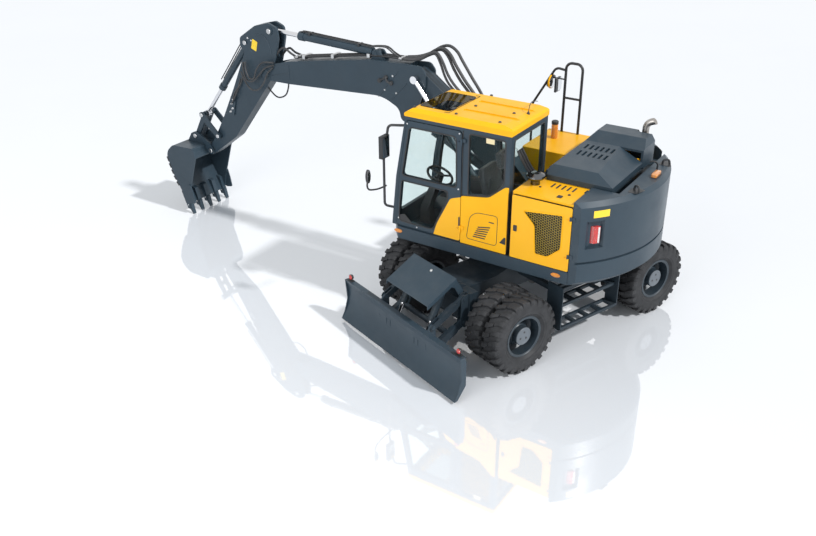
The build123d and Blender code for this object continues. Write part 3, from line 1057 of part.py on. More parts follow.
def cab_roof():
    """The roof cap with pressed ribs and the skylight opening."""
    outline = [(CAB_REAR_X - 12, CAB_ROOF_Z, 10), (CAB_REAR_X - 12, ROOF_CAP_Z - 30, 40), (CAB_REAR_X + 120, ROOF_CAP_Z, 60),
               (1230, ROOF_CAP_Z, 120), (1352, CAB_ROOF_Z + 40, 30), (1346, CAB_ROOF_Z, 10)]
    body = side_plate(outline, CAB_RIGHT_Y - 10, CAB_LEFT_Y + 10)
    section = [(CAB_RIGHT_Y - 4, CAB_ROOF_Z - 5, 0), (CAB_RIGHT_Y - 4, ROOF_CAP_Z - 50, 0), (CAB_RIGHT_Y + 30, ROOF_CAP_Z + 1, 0),
               (CAB_LEFT_Y - 30, ROOF_CAP_Z + 1, 0), (CAB_LEFT_Y + 6, ROOF_CAP_Z - 50, 0), (CAB_LEFT_Y + 6, CAB_ROOF_Z - 5, 0)]
    body = body & end_plate(section, CAB_REAR_X - 20, 1400)
    for share in (0.3, 0.7):
        y = CAB_RIGHT_Y + share * (CAB_LEFT_Y - CAB_RIGHT_Y)
        body = body - block((CAB_REAR_X - 20, 650), (y - 38, y + 38), (ROOF_CAP_Z - 14, ROOF_CAP_Z + 20))
    return body - skylight_plan(CAB_ROOF_Z - 10, ROOF_CAP_Z + 20)


def skylight_plan(z_low, z_high):
    """The skylight's outline, raised between two heights."""
    right, left = CAB_RIGHT_Y + 170, CAB_LEFT_Y - 130
    plan = [(760, right, 40), (1215, right, 60), (1215, left, 60), (760, left, 40)]
    return plan_plate(plan, z_low, z_high)


def roof_skylight():
    """The tinted roof pane."""
    return skylight_plan(ROOF_CAP_Z - 12, ROOF_CAP_Z + 6)


def operator_seat():
    """Seat on its suspension box, with back, headrest and arm consoles."""
    base = [(330, CAB_FLOOR_Z + 3, 0), (330, 1560, 30), (760, 1560, 30), (760, CAB_FLOOR_Z + 3, 0)]
    cushion = [(300, 1560, 20), (290, 1690, 40), (830, 1710, 60), (850, 1600, 50), (800, 1560, 20)]
    back = [(300, 1640, 20), (130, 2330, 60), (250, 2350, 60), (440, 1690, 60)]
    head = [(150, 2280, 20), (85, 2530, 40), (195, 2550, 40), (245, 2290, 20)]
    middle = (CAB_LEFT_Y + CAB_RIGHT_Y) / 2
    parts = [side_plate(base, middle - 210, middle + 210), side_plate(cushion, middle - 250, middle + 250),
             side_plate(back, middle - 235, middle + 235), side_plate(head, middle - 140, middle + 140)]
    return join(parts)


def control_console():
    """Arm consoles, steering column with wheel, and pedals' plate."""
    middle = (CAB_LEFT_Y + CAB_RIGHT_Y) / 2
    parts = []
    arm_rest = [(420, CAB_FLOOR_Z + 3, 0), (380, 1880, 40), (900, 1910, 60), (910, 1820, 40), (760, 1700, 60), (720, CAB_FLOOR_Z + 3, 0)]
    for y_low in (CAB_RIGHT_Y + CAB_WALL + 25, CAB_LEFT_Y - CAB_WALL + 4 - 29 - 130):
        parts.append(side_plate(arm_rest, y_low, y_low + 130))
    column = [(1210, CAB_FLOOR_Z + 3, 0), (1250, 1500, 30), (1090, 1960, 20), (1170, 1990, 20), (1380, 1500, 30), (1390, CAB_FLOOR_Z + 3, 0)]
    parts.append(side_plate(column, middle - 70, middle + 70))
    hub = Pos(1112, middle, 1990) * Rot(0, -28, 0)
    rim = [(-12, 169), (0, 162), (12, 169), (12, 193), (0, 200), (-12, 193)]
    ring = hub * turned_round(rim, (0, 0, 0), (0, 0, 1))
    spokes = [hub * Rot(0, 0, turn) * Pos(95, 0, 0) * Box(190, 26, 14) for turn in (0, 120, 240)]
    boss = hub * Cylinder(45, 60)
    steering = join([boss] + spokes + [ring])
    parts[-1] = parts[-1].fuse(steering)
    return Compound(children=parts)


def left_housing():
    """The fixed skin behind the door: cab side cover, top deck and corner post of the cooler bay."""
    swept = [(DOOR_REAR_X - 4, SKIRT_TOP_Z + 4, 10), (DOOR_REAR_X - 4, 2020, 20), (90, 2085, 150), (-130, 2270, 60), (CAB_REAR_X + 2, 2275, 10),
             (CAB_REAR_X + 2, SKIRT_TOP_Z + 4, 10)]
    cover = side_plate(swept, CAB_LEFT_Y, CAB_LEFT_Y + 16)
    parts = [join([cover] + hinge_fixed((DOOR_REAR_X, DOOR_HINGE_Y), DOOR_LOW_HINGE_Z, -1, CAB_LEFT_Y + 16))]
    top = [(PANEL_SPLIT_X, CAB_LEFT_Y + 12, 20), (PANEL_SPLIT_X, BAY_INNER_Y, 0), (TAIL_X, BAY_INNER_Y, 0), (TAIL_X, CAB_LEFT_Y + 12, 20)]
    bay = plan_plate(top, PANEL_TOP_Z - PANEL_SHEET, PANEL_TOP_Z)
    front_wall = block((PANEL_SPLIT_X - PANEL_SHEET, PANEL_SPLIT_X), (BAY_INNER_Y, CAB_LEFT_Y), (DECK_TOP_Z, PANEL_TOP_Z - 10))
    rear_wall = block((TAIL_X, TAIL_X + PANEL_SHEET), (BAY_INNER_Y, CAB_LEFT_Y - 20), (DECK_TOP_Z, PANEL_TOP_Z - 10))
    inner_wall = block((TAIL_X, PANEL_SPLIT_X), (BAY_INNER_Y, BAY_INNER_Y + PANEL_SHEET), (DECK_TOP_Z, PANEL_TOP_Z - 10))
    parts.append(join([bay, front_wall, rear_wall, inner_wall]))
    return Compound(children=parts)


def cooler_pack():
    """Radiator block behind the service door."""
    return block((-960, -330), (BAY_INNER_Y + 60, 1080), (DECK_TOP_Z, 2140))


def service_door():
    """The door over the cooler bay with its mesh grille recess."""
    front_x = PANEL_SPLIT_X - PANEL_SHEET - SERVICE_DOOR_GAP + 26
    rear_x = TAIL_X + SERVICE_DOOR_GAP
    outline = [(front_x, SKIRT_TOP_Z + 8, 20), (front_x, PANEL_TOP_Z - PANEL_SHEET - 8, 20), (rear_x, PANEL_TOP_Z - PANEL_SHEET - 8, 20),
               (rear_x, SKIRT_TOP_Z + 8, 20)]
    body = side_plate(outline, CAB_LEFT_Y + 14, CAB_LEFT_Y + 34)
    body = body - side_plate(grille_outline(0), CAB_LEFT_Y + 10, CAB_LEFT_Y + 40)
    parts = [body] + grille_bars()
    for z in SERVICE_HINGE_ZS:
        parts += hinge_eye((SERVICE_HINGE_X, SERVICE_HINGE_Y), z, 1, CAB_LEFT_Y + 34)
    body = join(parts)
    for z in SERVICE_HINGE_ZS:
        body = body - hinge_bore((SERVICE_HINGE_X, SERVICE_HINGE_Y), z)
    return body


def hinge_eye(axis_xy, z, way, face_y):
    """The turning half of an upright leaf hinge: its eye and its leaf on a face toward way along X."""
    x, y = axis_xy
    return [rod((x, y, z - HINGE_KNUCKLE), (x, y, z - 0.5), HINGE_RADIUS)] + hinge_leaf(axis_xy, (z - HINGE_KNUCKLE, z - 0.5), way, face_y)


def hinge_fixed(axis_xy, z, way, face_y):
    """The fixed half: its knuckle, the pin through the turning eye, and its leaf."""
    x, y = axis_xy
    pin = rod((x, y, z - HINGE_KNUCKLE), (x, y, z + HINGE_KNUCKLE), HINGE_PIN / 2)
    return [rod((x, y, z), (x, y, z + HINGE_KNUCKLE), HINGE_RADIUS), pin] + hinge_leaf(axis_xy, (z, z + HINGE_KNUCKLE), way, face_y)


def hinge_leaf(axis_xy, z_span, way, face_y):
    """A leaf from the axis along X and the pad that seats it on a face."""
    x, y = axis_xy
    leaf_y = y - HINGE_RADIUS
    leaf = block(sorted((x, x + way * HINGE_LEAF)), (leaf_y, leaf_y + 8), z_span)
    pad = block(sorted((x + way * HINGE_PAD, x + way * HINGE_LEAF)), (face_y - 3, leaf_y + 1), z_span)
    return [leaf, pad]


def hinge_bore(axis_xy, z):
    """The running bore of the turning eye."""
    x, y = axis_xy
    return rod((x, y, z - HINGE_KNUCKLE - 5), (x, y, z - 0.5), HINGE_PIN / 2 + PIN_FIT)


def grille_outline(inset):
    """The angular grille opening in the service door."""
    return [(-400 - inset, 2040 - inset, 20), (-930 + inset, 2100 - inset, 20), (-930 + inset, 1650 + inset, 20), (-760, 1500 + inset, 20),
            (-590, 1500 + inset, 20), (-560, 1880, 20)]


def grille_bars():
    """Crossing flat bars that fill the grille opening."""
    bars = []
    window = side_plate(grille_outline(-4), CAB_LEFT_Y + 18, CAB_LEFT_Y + 28)
    for lean in (-1, 1):
        for index in range(-4, 5):
            bar = Pos(-680 + index * 120, CAB_LEFT_Y + 23, 1800) * Rot(0, lean * 32, 0) * Box(10, 8, 900)
            bars.append(bar & window)
    return bars


def tank_housing():
    """Fuel and oil tank bodies on the boom's far side, with stair-stepped front box."""
    rear = [(TANK_SIDE_Y, DECK_TOP_Z, 0), (TANK_SIDE_Y, TANK_TOP_Z - 20, 10), (TANK_SIDE_Y + 20, TANK_TOP_Z, 10), (-330, TANK_TOP_Z, 10),
            (-330, DECK_TOP_Z, 0)]
    body = end_plate(rear, TAIL_X + 6, 420)
    front = [(420 - 10, DECK_TOP_Z, 0), (420 - 10, TANK_STEP_Z, 0), (760, TANK_STEP_Z, 30), (760, 1620, 10), (1080, 1600, 30), (1100, 1390, 10),
             (1385, 1380, 30), (1400, DECK_TOP_Z, 10)]
    box = side_plate(front, TANK_SIDE_Y, -700)
    return body.fuse(box)


def engine_cowl():
    """The fixed cowl between the housings that the hood closes on."""
    parts = [block((TAIL_X, HOOD_HINGE_X + 40), (-330, 560), (2110, 2170))]
    parts.append(block((HOOD_HINGE_X - 10, HOOD_HINGE_X + 40), (-330, 560), (DECK_TOP_Z, 2170)))
    parts.append(block((HOOD_HINGE_X - 10, HOOD_HINGE_X + 40), (-330, 560), (2165, 2330)))
    lug = [(HOOD_HINGE_X - 10, 2320, 0), (HOOD_HINGE[0] - 15, HOOD_HINGE[1] + 18, 15), (HOOD_HINGE[0] + 15, HOOD_HINGE[1] + 18, 15),
           (HOOD_HINGE_X + 30, 2320, 0)]
    for y in HOOD_HINGE_YS:
        parts.append(cross_pin(HOOD_HINGE, y - 30, y + HINGE_EYE + 30, HINGE_PIN_RADIUS))
        parts.append(side_plate(lug, y - 30, y - HINGE_GAP))
        parts.append(side_plate(lug, y + HINGE_EYE + HINGE_GAP, y + HINGE_EYE + 30))
    opening = block((TAIL_X + 40, HOOD_HINGE_X - 60), (-290, 520), (2100, 2180))
    return join(parts) - opening


def engine_block():
    """The engine as one heavy block."""
    rails = [block((-960, -540), (y, y + 90), (DECK_TOP_Z, 1310)) for y in (-260, 370)]
    return join([block((-980, -520), (-300, 500), (1300, 2000))] + rails)


def engine_hood():
    """The faceted lid over the engine with its raised box and two rows of slots."""
    low_z = TANK_TOP_Z + 12
    top = [(-1000, low_z, 0), (-1000, 2420, 40), (-800, 2590, 30), (-500, 2592, 30), (-310, 2492, 20), (600, 2448, 20),
           (HOOD_SIDE_Y, HOOD_EDGE_Z, 8), (HOOD_SIDE_Y, HOOD_BOTTOM_Z, 0), (-345, HOOD_BOTTOM_Z, 0), (-345, low_z, 0)]
    body = end_plate(top, HOOD_REAR_X, HOOD_HINGE_X - 30)
    rear_slope = [(HOOD_REAR_X - 20, 2700, 0), (HOOD_REAR_X - 20, 2322, 0), (HOOD_REAR_X + 320, 2492, 0), (HOOD_REAR_X + 320, 2700, 0)]
    band_slope = [(HOOD_REAR_X - 20, 2700, 0), (HOOD_REAR_X - 20, 2480, 0), (HOOD_REAR_X + 70, 2620, 0)]
    front_slope = [(HOOD_HINGE_X + 20, 2700, 0), (HOOD_HINGE_X + 20, 2340, 0), (HOOD_HINGE_X - 210, 2620, 0)]
    spans = ((-310, 800), (-1100, -310), (-1100, 800))
    wedges = [side_plate(wedge, *span) for wedge, span in zip((rear_slope, band_slope, front_slope), spans)]
    for wedge in wedges:
        body = body - wedge
    inner = [(-1000 + HOOD_SHEET, low_z - 60, 0), (-1000 + HOOD_SHEET, 2400, 20), (-790, 2590 - HOOD_SHEET, 20),
             (-510, 2592 - HOOD_SHEET, 20), (-320, 2492 - HOOD_SHEET, 10), (590, 2448 - HOOD_SHEET, 10),
             (HOOD_SIDE_Y - HOOD_SHEET, HOOD_EDGE_Z - 14, 0), (HOOD_SIDE_Y - HOOD_SHEET, low_z - 60, 0)]
    room = end_plate(inner, HOOD_REAR_X + HOOD_SHEET, HOOD_HINGE_X - 30 - HOOD_SHEET)
    for wedge in wedges:
        room = room - Pos(0, 0, -1.3 * HOOD_SHEET) * wedge
    corner_y = EXHAUST_FOOT[1] + 90
    room = room - block((HOOD_REAR_X - 10, EXHAUST_FOOT[0] + 90 + HOOD_SHEET), (-1100, corner_y + HOOD_SHEET), (2000, 2800))
    body = body - room
    body = body - block((HOOD_REAR_X - 10, EXHAUST_FOOT[0] + 90), (-1100, corner_y), (2100, 2800))
    for y in (-190, 40):
        for index in range(6):
            x = -600 - index * 72
            body = body - block((x - 16, x + 16), (y, y + 150), (2420, 2700))
    parts = [body]
    for y in HOOD_HINGE_YS:
        parts.append(cross_pin(HOOD_HINGE, y, y + HINGE_EYE, 20))
        parts.append(block((HOOD_HINGE_X - 45, HOOD_HINGE[0]), (y, y + HINGE_EYE), (HOOD_HINGE[1] - 20, HOOD_HINGE[1] + 20)))
    body = join(parts)
    for y in HOOD_HINGE_YS:
        body = body - cross_pin(HOOD_HINGE, y - 5, y + HINGE_EYE + 5, HINGE_PIN_RADIUS + PIN_FIT)
    return body


def exhaust_pipe():
    """The bent tail pipe over the hood's far rear corner."""
    x, y = EXHAUST_FOOT
    pipe = bent_tube([(x, y, TAIL_RECESS_Z), (x, y, 2700), (x - 235, y - 30, 2770)], EXHAUST_RADIUS, 105)
    return pipe - Pos(x - 262, y - 30, 2700) * Rot(0, 38, 0) * Box(200, 200, 400)


def air_precleaner():
    """The mushroom intake bowl on the left deck."""
    outline = [(0, 0), (0, 58), (52, 58), (84, 112), (104, 120), (124, 116), (152, 62), (158, 0)]
    return turned_round(outline, (*BOWL_PLACE, PANEL_TOP_Z), (0, 0, 1))


def handrails():
    """The hoop on the tank deck, the entry rail and the left mirror bracket."""
    y = HANDRAIL_Y
    rear_x, front_x = HOOP_XS
    hoop = bent_tube([(rear_x, y, TANK_TOP_Z), (rear_x, y, HOOP_TOP_Z), (front_x, y, HOOP_TOP_Z), (front_x, y, TANK_TOP_Z)], 19, 90)
    bar_z = HOOP_TOP_Z - 500
    bar = rod((rear_x, y, bar_z), (front_x, y, bar_z), 16)
    low = bent_tube([(700, y, TANK_STEP_Z), (700, y, 2560), (front_x + 150, y, HOOP_TOP_Z - 90), (front_x, y, HOOP_TOP_Z - 110)], 17, 90)
    mirror_arm = rod((front_x, y, HOOP_TOP_Z - 240), (front_x + 220, y - 10, HOOP_TOP_Z - 240), 10)
    mirror_head = Pos(front_x + 120, y - 10, HOOP_TOP_Z - 330) * Box(26, 150, 200)
    round_mirror = rod((front_x + 205, y - 10, HOOP_TOP_Z - 300), (front_x + 235, y - 10, HOOP_TOP_Z - 290), 95)
    right = join([hoop, bar, low, mirror_arm, mirror_head, round_mirror])
    y = CAB_LEFT_Y
    bracket = bent_tube([(1370, y - 40, 2780), (1560, y + 60, 2780), (1640, y + 60, 2300), (1640, y + 60, 1640), (1515, y - 30, 1600)], 17, 60)
    mirror_head = Pos(1590, y + 120, 2500) * Box(60, 160, 300)
    left = join([bracket, mirror_head]) - side_plate(cab_profile(0), CAB_RIGHT_Y, CAB_LEFT_Y)
    return Compound(children=[right, left])


def lamps():
    """Tail lamps in the counterweight pockets, blade lamps stay with the blade; roof beacon."""
    low, high = TAIL_LAMP_Z
    shell = rod((0, 0, low - 60), (0, 0, high + 60), TAIL_RADIUS - 12) - rod((0, 0, low - 60), (0, 0, high + 60), TAIL_RADIUS - 45)
    x_span = (tail_x(TAIL_LAMP_Y[0]) - 20, tail_x(TAIL_LAMP_Y[1]) + 80)
    parts = [shell & block(x_span, sorted(side * y for y in TAIL_LAMP_Y), TAIL_LAMP_Z) for side in (-1, 1)]
    return Compound(children=parts)


NODES = {
    "chassis_frame": chassis_frame,
    "swing_ring": swing_ring,
    "drive_axle": drive_axle,
    "steer_axle": steer_axle,
    "driveline": driveline,
    "boarding_steps": boarding_steps,
    "blade_cover": blade_cover,
    "tyres_drive_left": lambda: under(tyre_pair(DRIVE_AXLE_X, 1)),
    "tyres_drive_right": lambda: under(tyre_pair(DRIVE_AXLE_X, -1)),
    "tyres_steer_left": lambda: under(tyre_pair(STEER_AXLE_X, 1)),
    "tyres_steer_right": lambda: under(tyre_pair(STEER_AXLE_X, -1)),
    "rims_drive_left": lambda: under(rim_pair(DRIVE_AXLE_X, 1)),
    "rims_drive_right": lambda: under(rim_pair(DRIVE_AXLE_X, -1)),
    "rims_steer_left": lambda: under(rim_pair(STEER_AXLE_X, 1)),
    "rims_steer_right": lambda: under(rim_pair(STEER_AXLE_X, -1)),
    "knuckle_left": lambda: knuckle(1),
    "knuckle_right": lambda: knuckle(-1),
    "blade": blade,
    "blade_arms": blade_arms,
    "blade_links": blade_links,
    "blade_barrels": blade_barrels,
    "blade_rods": blade_rods,
    "upper_frame": upper_frame,
    "deck_skirt": deck_skirt,
    "counterweight": counterweight,
    "cab_shell": cab_shell,
    "cab_roof": cab_roof,
    "cab_glass": cab_glass,
    "roof_skylight": roof_skylight,
    "operator_seat": operator_seat,
    "control_console": control_console,
    "cab_door": cab_door,
    "cab_door_glass": cab_door_glass,
    "left_housing": left_housing,
    "cooler_pack": cooler_pack,
    "service_door": service_door,
    "tank_housing": tank_housing,
    "engine_cowl": engine_cowl,
    "engine_block": engine_block,
    "engine_hood": engine_hood,
    "exhaust_pipe": exhaust_pipe,
    "air_precleaner": air_precleaner,
    "handrails": handrails,
    "lamps": lamps,
    "base_boom": base_boom,
    "upper_boom": upper_boom,
    "arm": arm,
    "bucket": bucket,
    "bucket_side_links": bucket_side_links,
    "bucket_link": bucket_link,
    "lift_barrels": lift_barrels,
    "lift_rods": lift_rods,
    "adjust_barrel": lambda: ram_barrel(ADJUST_BASE, ADJUST_EYE, BOOM_Y, ADJUST_BARREL, ADJUST_CYL_RADIUS, ADJUST_ROD_RADIUS,
                                        CYL_PIN_RADIUS, EYE_HALF),
    "adjust_rod": lambda: ram_rod(ADJUST_BASE, ADJUST_EYE, BOOM_Y, ADJUST_BARREL, ADJUST_ROD_RADIUS, ADJUST_STROKE_LEFT,
                                  CYL_PIN_RADIUS, EYE_HALF),
    "arm_barrel": lambda: ram_barrel(ARM_CYL_BASE, ARM_CYL_EYE, BOOM_Y, ARM_BARREL, ARM_CYL_RADIUS, ARM_ROD_RADIUS, CYL_PIN_RADIUS,
                                     EYE_HALF),
    "arm_rod": lambda: ram_rod(ARM_CYL_BASE, ARM_CYL_EYE, BOOM_Y, ARM_BARREL, ARM_ROD_RADIUS, ARM_STROKE_LEFT, CYL_PIN_RADIUS, EYE_HALF),
    "bucket_barrel": lambda: ram_barrel(BUCKET_CYL_BASE, BUCKET_LINK_PIN, BOOM_Y, BUCKET_BARREL, BUCKET_CYL_RADIUS,
                                        BUCKET_ROD_RADIUS, CYL_PIN_RADIUS, EYE_HALF),
    "bucket_rod": lambda: ram_rod(BUCKET_CYL_BASE, BUCKET_LINK_PIN, BOOM_Y, BUCKET_BARREL, BUCKET_ROD_RADIUS, BUCKET_STROKE_LEFT,
                                  CYL_PIN_RADIUS, EYE_HALF),
}


def main():
    """Write one STEP file for each piece."""
    os.makedirs("parts", exist_ok=True)
    for name, make in NODES.items():
        export_step(make(), f"parts/{name}.step")


if __name__ == "__main__":
    main()
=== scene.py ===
"""Wheeled excavator: dress the CAD frame with finishes, tyres, hoses, fittings, floor, light and camera."""
import json
import math

import bmesh
import bpy
from mathutils import Matrix, Vector


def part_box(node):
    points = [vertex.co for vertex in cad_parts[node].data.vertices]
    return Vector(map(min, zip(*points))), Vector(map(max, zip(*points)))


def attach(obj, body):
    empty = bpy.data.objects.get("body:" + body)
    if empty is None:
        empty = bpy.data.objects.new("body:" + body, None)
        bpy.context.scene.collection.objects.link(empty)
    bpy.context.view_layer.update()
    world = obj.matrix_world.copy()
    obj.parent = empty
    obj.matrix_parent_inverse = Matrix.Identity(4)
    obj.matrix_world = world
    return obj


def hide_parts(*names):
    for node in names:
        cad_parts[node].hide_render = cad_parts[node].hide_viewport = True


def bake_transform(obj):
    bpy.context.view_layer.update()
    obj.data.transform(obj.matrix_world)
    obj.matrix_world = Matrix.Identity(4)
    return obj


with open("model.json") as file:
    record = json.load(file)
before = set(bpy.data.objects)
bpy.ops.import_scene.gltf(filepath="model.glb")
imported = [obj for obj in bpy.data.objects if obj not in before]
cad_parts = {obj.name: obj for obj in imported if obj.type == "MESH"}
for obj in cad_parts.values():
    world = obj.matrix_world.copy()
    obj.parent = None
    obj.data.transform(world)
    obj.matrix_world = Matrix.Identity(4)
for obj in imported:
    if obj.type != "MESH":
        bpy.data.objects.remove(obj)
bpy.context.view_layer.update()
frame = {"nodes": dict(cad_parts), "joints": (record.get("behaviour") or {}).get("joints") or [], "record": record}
nodes = frame["nodes"]
joints = {joint["name"]: joint for joint in frame["joints"]}

# ---- shader helpers ----


def feed(tree, socket, value):
    """Link a node's output to a socket, or set the socket to a plain value."""
    if isinstance(value, bpy.types.NodeSocket):
        tree.links.new(value, socket)
    else:
        socket.default_value = value


def add(tree, kind, settings=None, **sockets):
    """A node with its settings and its sockets fed."""
    made = tree.nodes.new("ShaderNode" + kind)
    for name, value in (settings or {}).items():
        setattr(made, name, value)
    for name, value in sockets.items():
        feed(tree, made.inputs[name.replace("_", " ")], value)
    return made


def blend_colour(tree, factor, low, high):
    """Mix two colours; each may be a colour or an output."""
    made = add(tree, "Mix", {"data_type": "RGBA"})
    for index, value in ((0, factor), (6, low), (7, high)):
        feed(tree, made.inputs[index], value)
    return made.outputs[2]


def spread(tree, value, low, high, out_low=0.0, out_high=1.0):
    """Map a value from one range to another, clamped."""
    made = add(tree, "MapRange", Value=value)
    for name, number in (("From Min", low), ("From Max", high), ("To Min", out_low), ("To Max", out_high)):
        feed(tree, made.inputs[name], number)
    return made.outputs[0]


def math_node(tree, operation, first, second, third=0.0):
    """The result of a sum of two values, with a third where the sum takes one."""
    made = add(tree, "Math", {"operation": operation})
    for socket, value in zip(made.inputs, (first, second, third)):
        feed(tree, socket, value)
    return made.outputs[0]


def times(tree, first, second):
    """The product of two values."""
    return math_node(tree, "MULTIPLY", first, second)


def group(name, inputs, outputs):
    """An empty shader node group with named inputs (name, kind, default) and outputs (name, kind)."""
    tree = bpy.data.node_groups.new(name, "ShaderNodeTree")
    for label, kind, default in inputs:
        socket = tree.interface.new_socket(label, in_out="INPUT", socket_type="NodeSocket" + kind)
        socket.default_value = default
    for label, kind in outputs:
        tree.interface.new_socket(label, in_out="OUTPUT", socket_type="NodeSocket" + kind)
    start = tree.nodes.new("NodeGroupInput")
    end = tree.nodes.new("NodeGroupOutput")
    return tree, start.outputs, end.inputs


def tone_group():
    """Colour that drifts between two shades, with fine flecks."""
    inputs = [("Base", "Color", (0.5, 0.5, 0.5, 1)), ("Shade", "Color", (0.4, 0.4, 0.4, 1)),
              ("Scale", "Float", 2.0), ("Fleck", "Float", 0.1)]
    tree, given, out = group("tone_drift", inputs, [("Color", "Color")])
    place = add(tree, "TexCoord").outputs["Object"]
    broad = add(tree, "TexNoise", Vector=place, Scale=given["Scale"], Detail=4.0, Roughness=0.6).outputs[0]
    mask = spread(tree, broad, 0.35, 0.68)
    fine = add(tree, "TexNoise", Vector=place, Scale=160.0, Detail=2.0).outputs[0]
    flecks = times(tree, spread(tree, fine, 0.60, 0.72), given["Fleck"])
    drift = blend_colour(tree, mask, given["Base"], given["Shade"])
    tree.links.new(blend_colour(tree, flecks, drift, given["Shade"]), out["Color"])
    return tree


def dust_group():
    """Pale dust that lies on upward faces and in patches."""
    inputs = [("Color", "Color", (0.5, 0.5, 0.5, 1)), ("Dust", "Color", (0.32, 0.29, 0.25, 1)),
              ("Amount", "Float", 0.2)]
    tree, given, out = group("settled_dust", inputs, [("Color", "Color")])
    place = add(tree, "TexCoord").outputs["Object"]
    up = add(tree, "SeparateXYZ", Vector=add(tree, "NewGeometry").outputs["Normal"]).outputs["Z"]
    lying = spread(tree, up, 0.2, 0.95, 0.25, 1.0)
    clouds = add(tree, "TexNoise", Vector=place, Scale=5.0, Detail=6.0, Roughness=0.65).outputs[0]
    patches = spread(tree, clouds, 0.42, 0.7)
    mask = times(tree, times(tree, lying, patches), given["Amount"])
    tree.links.new(blend_colour(tree, mask, given["Color"], given["Dust"]), out["Color"])
    return tree


def scuff_group():
    """Fine scuffs drawn out along one way, as a mask."""
    inputs = [("Amount", "Float", 0.3), ("Density", "Float", 14.0)]
    tree, given, out = group("drawn_scuffs", inputs, [("Mask", "Float")])
    place = add(tree, "TexCoord").outputs["Object"]
    place = add(tree, "Mapping", Vector=place, Scale=(1.0, 1.0, 9.0), Rotation=(0.3, 0.5, 0.2)).outputs[0]
    lines = add(tree, "TexNoise", Vector=place, Scale=given["Density"], Detail=5.0, Roughness=0.7).outputs[0]
    patches = add(tree, "TexNoise", Vector=place, Scale=1.4, Detail=2.0).outputs[0]
    mask = times(tree, spread(tree, lines, 0.60, 0.66), spread(tree, patches, 0.48, 0.62))
    tree.links.new(times(tree, mask, given["Amount"]), out["Mask"])
    return tree


def relief_group():
    """A low relief of broad waviness and fine grain, and a roughness that follows it."""
    inputs = [("Grain", "Float", 400.0), ("Waviness", "Float", 0.3), ("Low", "Float", 0.35), ("High", "Float", 0.5)]
    tree, given, out = group("skin_relief", inputs, [("Height", "Float"), ("Roughness", "Float")])
    place = add(tree, "TexCoord").outputs["Object"]
    grain = add(tree, "TexNoise", Vector=place, Scale=given["Grain"], Detail=2.0).outputs[0]
    waves = add(tree, "TexNoise", Vector=place, Scale=3.0, Detail=3.0).outputs[0]
    total = math_node(tree, "ADD", grain, times(tree, waves, given["Waviness"]))
    tree.links.new(total, out["Height"])
    tree.links.new(spread(tree, waves, 0.3, 0.7, given["Low"], given["High"]), out["Roughness"])
    return tree


def weave_group():
    """Crossing threads of a woven cloth as height."""
    tree, given, out = group("plain_weave", [("Threads", "Float", 300.0)], [("Height", "Float")])
    place = add(tree, "TexCoord").outputs["Object"]
    waves = []
    for way in ("X", "Y", "Z"):
        wave = add(tree, "TexWave", {"bands_direction": way}, Vector=place, Scale=given["Threads"], Distortion=0.4)
        waves.append(wave.outputs["Fac"])
    crossed = math_node(tree, "MAXIMUM", waves[0], waves[1])
    tree.links.new(times(tree, crossed, waves[2]), out["Height"])
    return tree


GROUPS = {tree.name: tree for tree in (tone_group(), dust_group(), scuff_group(), relief_group(), weave_group())}


def place_group(tree, name, **sockets):
    """An instance of one of the shared groups."""
    made = tree.nodes.new("ShaderNodeGroup")
    made.node_tree = GROUPS[name]
    for label, value in sockets.items():
        feed(tree, made.inputs[label], value)
    return made.outputs


def blank(name):
    """A new material with its tree and Principled shader."""
    material = bpy.data.materials.new(name)
    material.use_nodes = True
    tree = material.node_tree
    return material, tree, tree.nodes["Principled BSDF"]


def set_shader(shader, **values):
    """Set plain numbers and colours on a Principled shader's own sockets."""
    for label, value in values.items():
        shader.inputs[label.replace("_", " ")].default_value = value


def raise_relief(tree, shader, height, strength, distance):
    """Feed a height to the shader's normal."""
    bump = add(tree, "Bump", Height=height, Strength=strength, Distance=distance)
    tree.links.new(bump.outputs[0], shader.inputs["Normal"])


def tint(tree, shader, base, shade, scale, fleck=0.0):
    """Give a shader a colour that drifts between two shades."""
    tone = place_group(tree, "tone_drift", Base=base, Shade=shade, Scale=scale, Fleck=fleck)
    tree.links.new(tone["Color"], shader.inputs["Base Color"])


def coat(tree, shader, colour, dust, relief, strength, distance, **dusty):
    """Join a colour, its dust and a low relief to a shader."""
    dusted = place_group(tree, "settled_dust", Color=colour, Amount=dust, **dusty)["Color"]
    tree.links.new(dusted, shader.inputs["Base Color"])
    tree.links.new(relief["Roughness"], shader.inputs["Roughness"])
    raise_relief(tree, shader, relief["Height"], strength, distance)


def opaque(name, base, shade, scale=1.5, fleck=0.05, dust=0.15, scuff=0.0, low=0.35, high=0.5, grain=500.0,
           strength=0.1, **sockets):
    """A finish with tone drift, scuffs to bare metal, settled dust and low relief."""
    material, tree, shader = blank(name)
    colour = place_group(tree, "tone_drift", Base=base, Shade=shade, Scale=scale, Fleck=fleck)["Color"]
    if scuff:
        worn = place_group(tree, "drawn_scuffs", Amount=scuff, Density=14.0)["Mask"]
        colour = blend_colour(tree, worn, colour, (0.25, 0.25, 0.26, 1))
    relief = place_group(tree, "skin_relief", Grain=grain, Waviness=0.3, Low=low, High=high)
    coat(tree, shader, colour, dust, relief, strength, 0.001)
    set_shader(shader, **sockets)
    return material


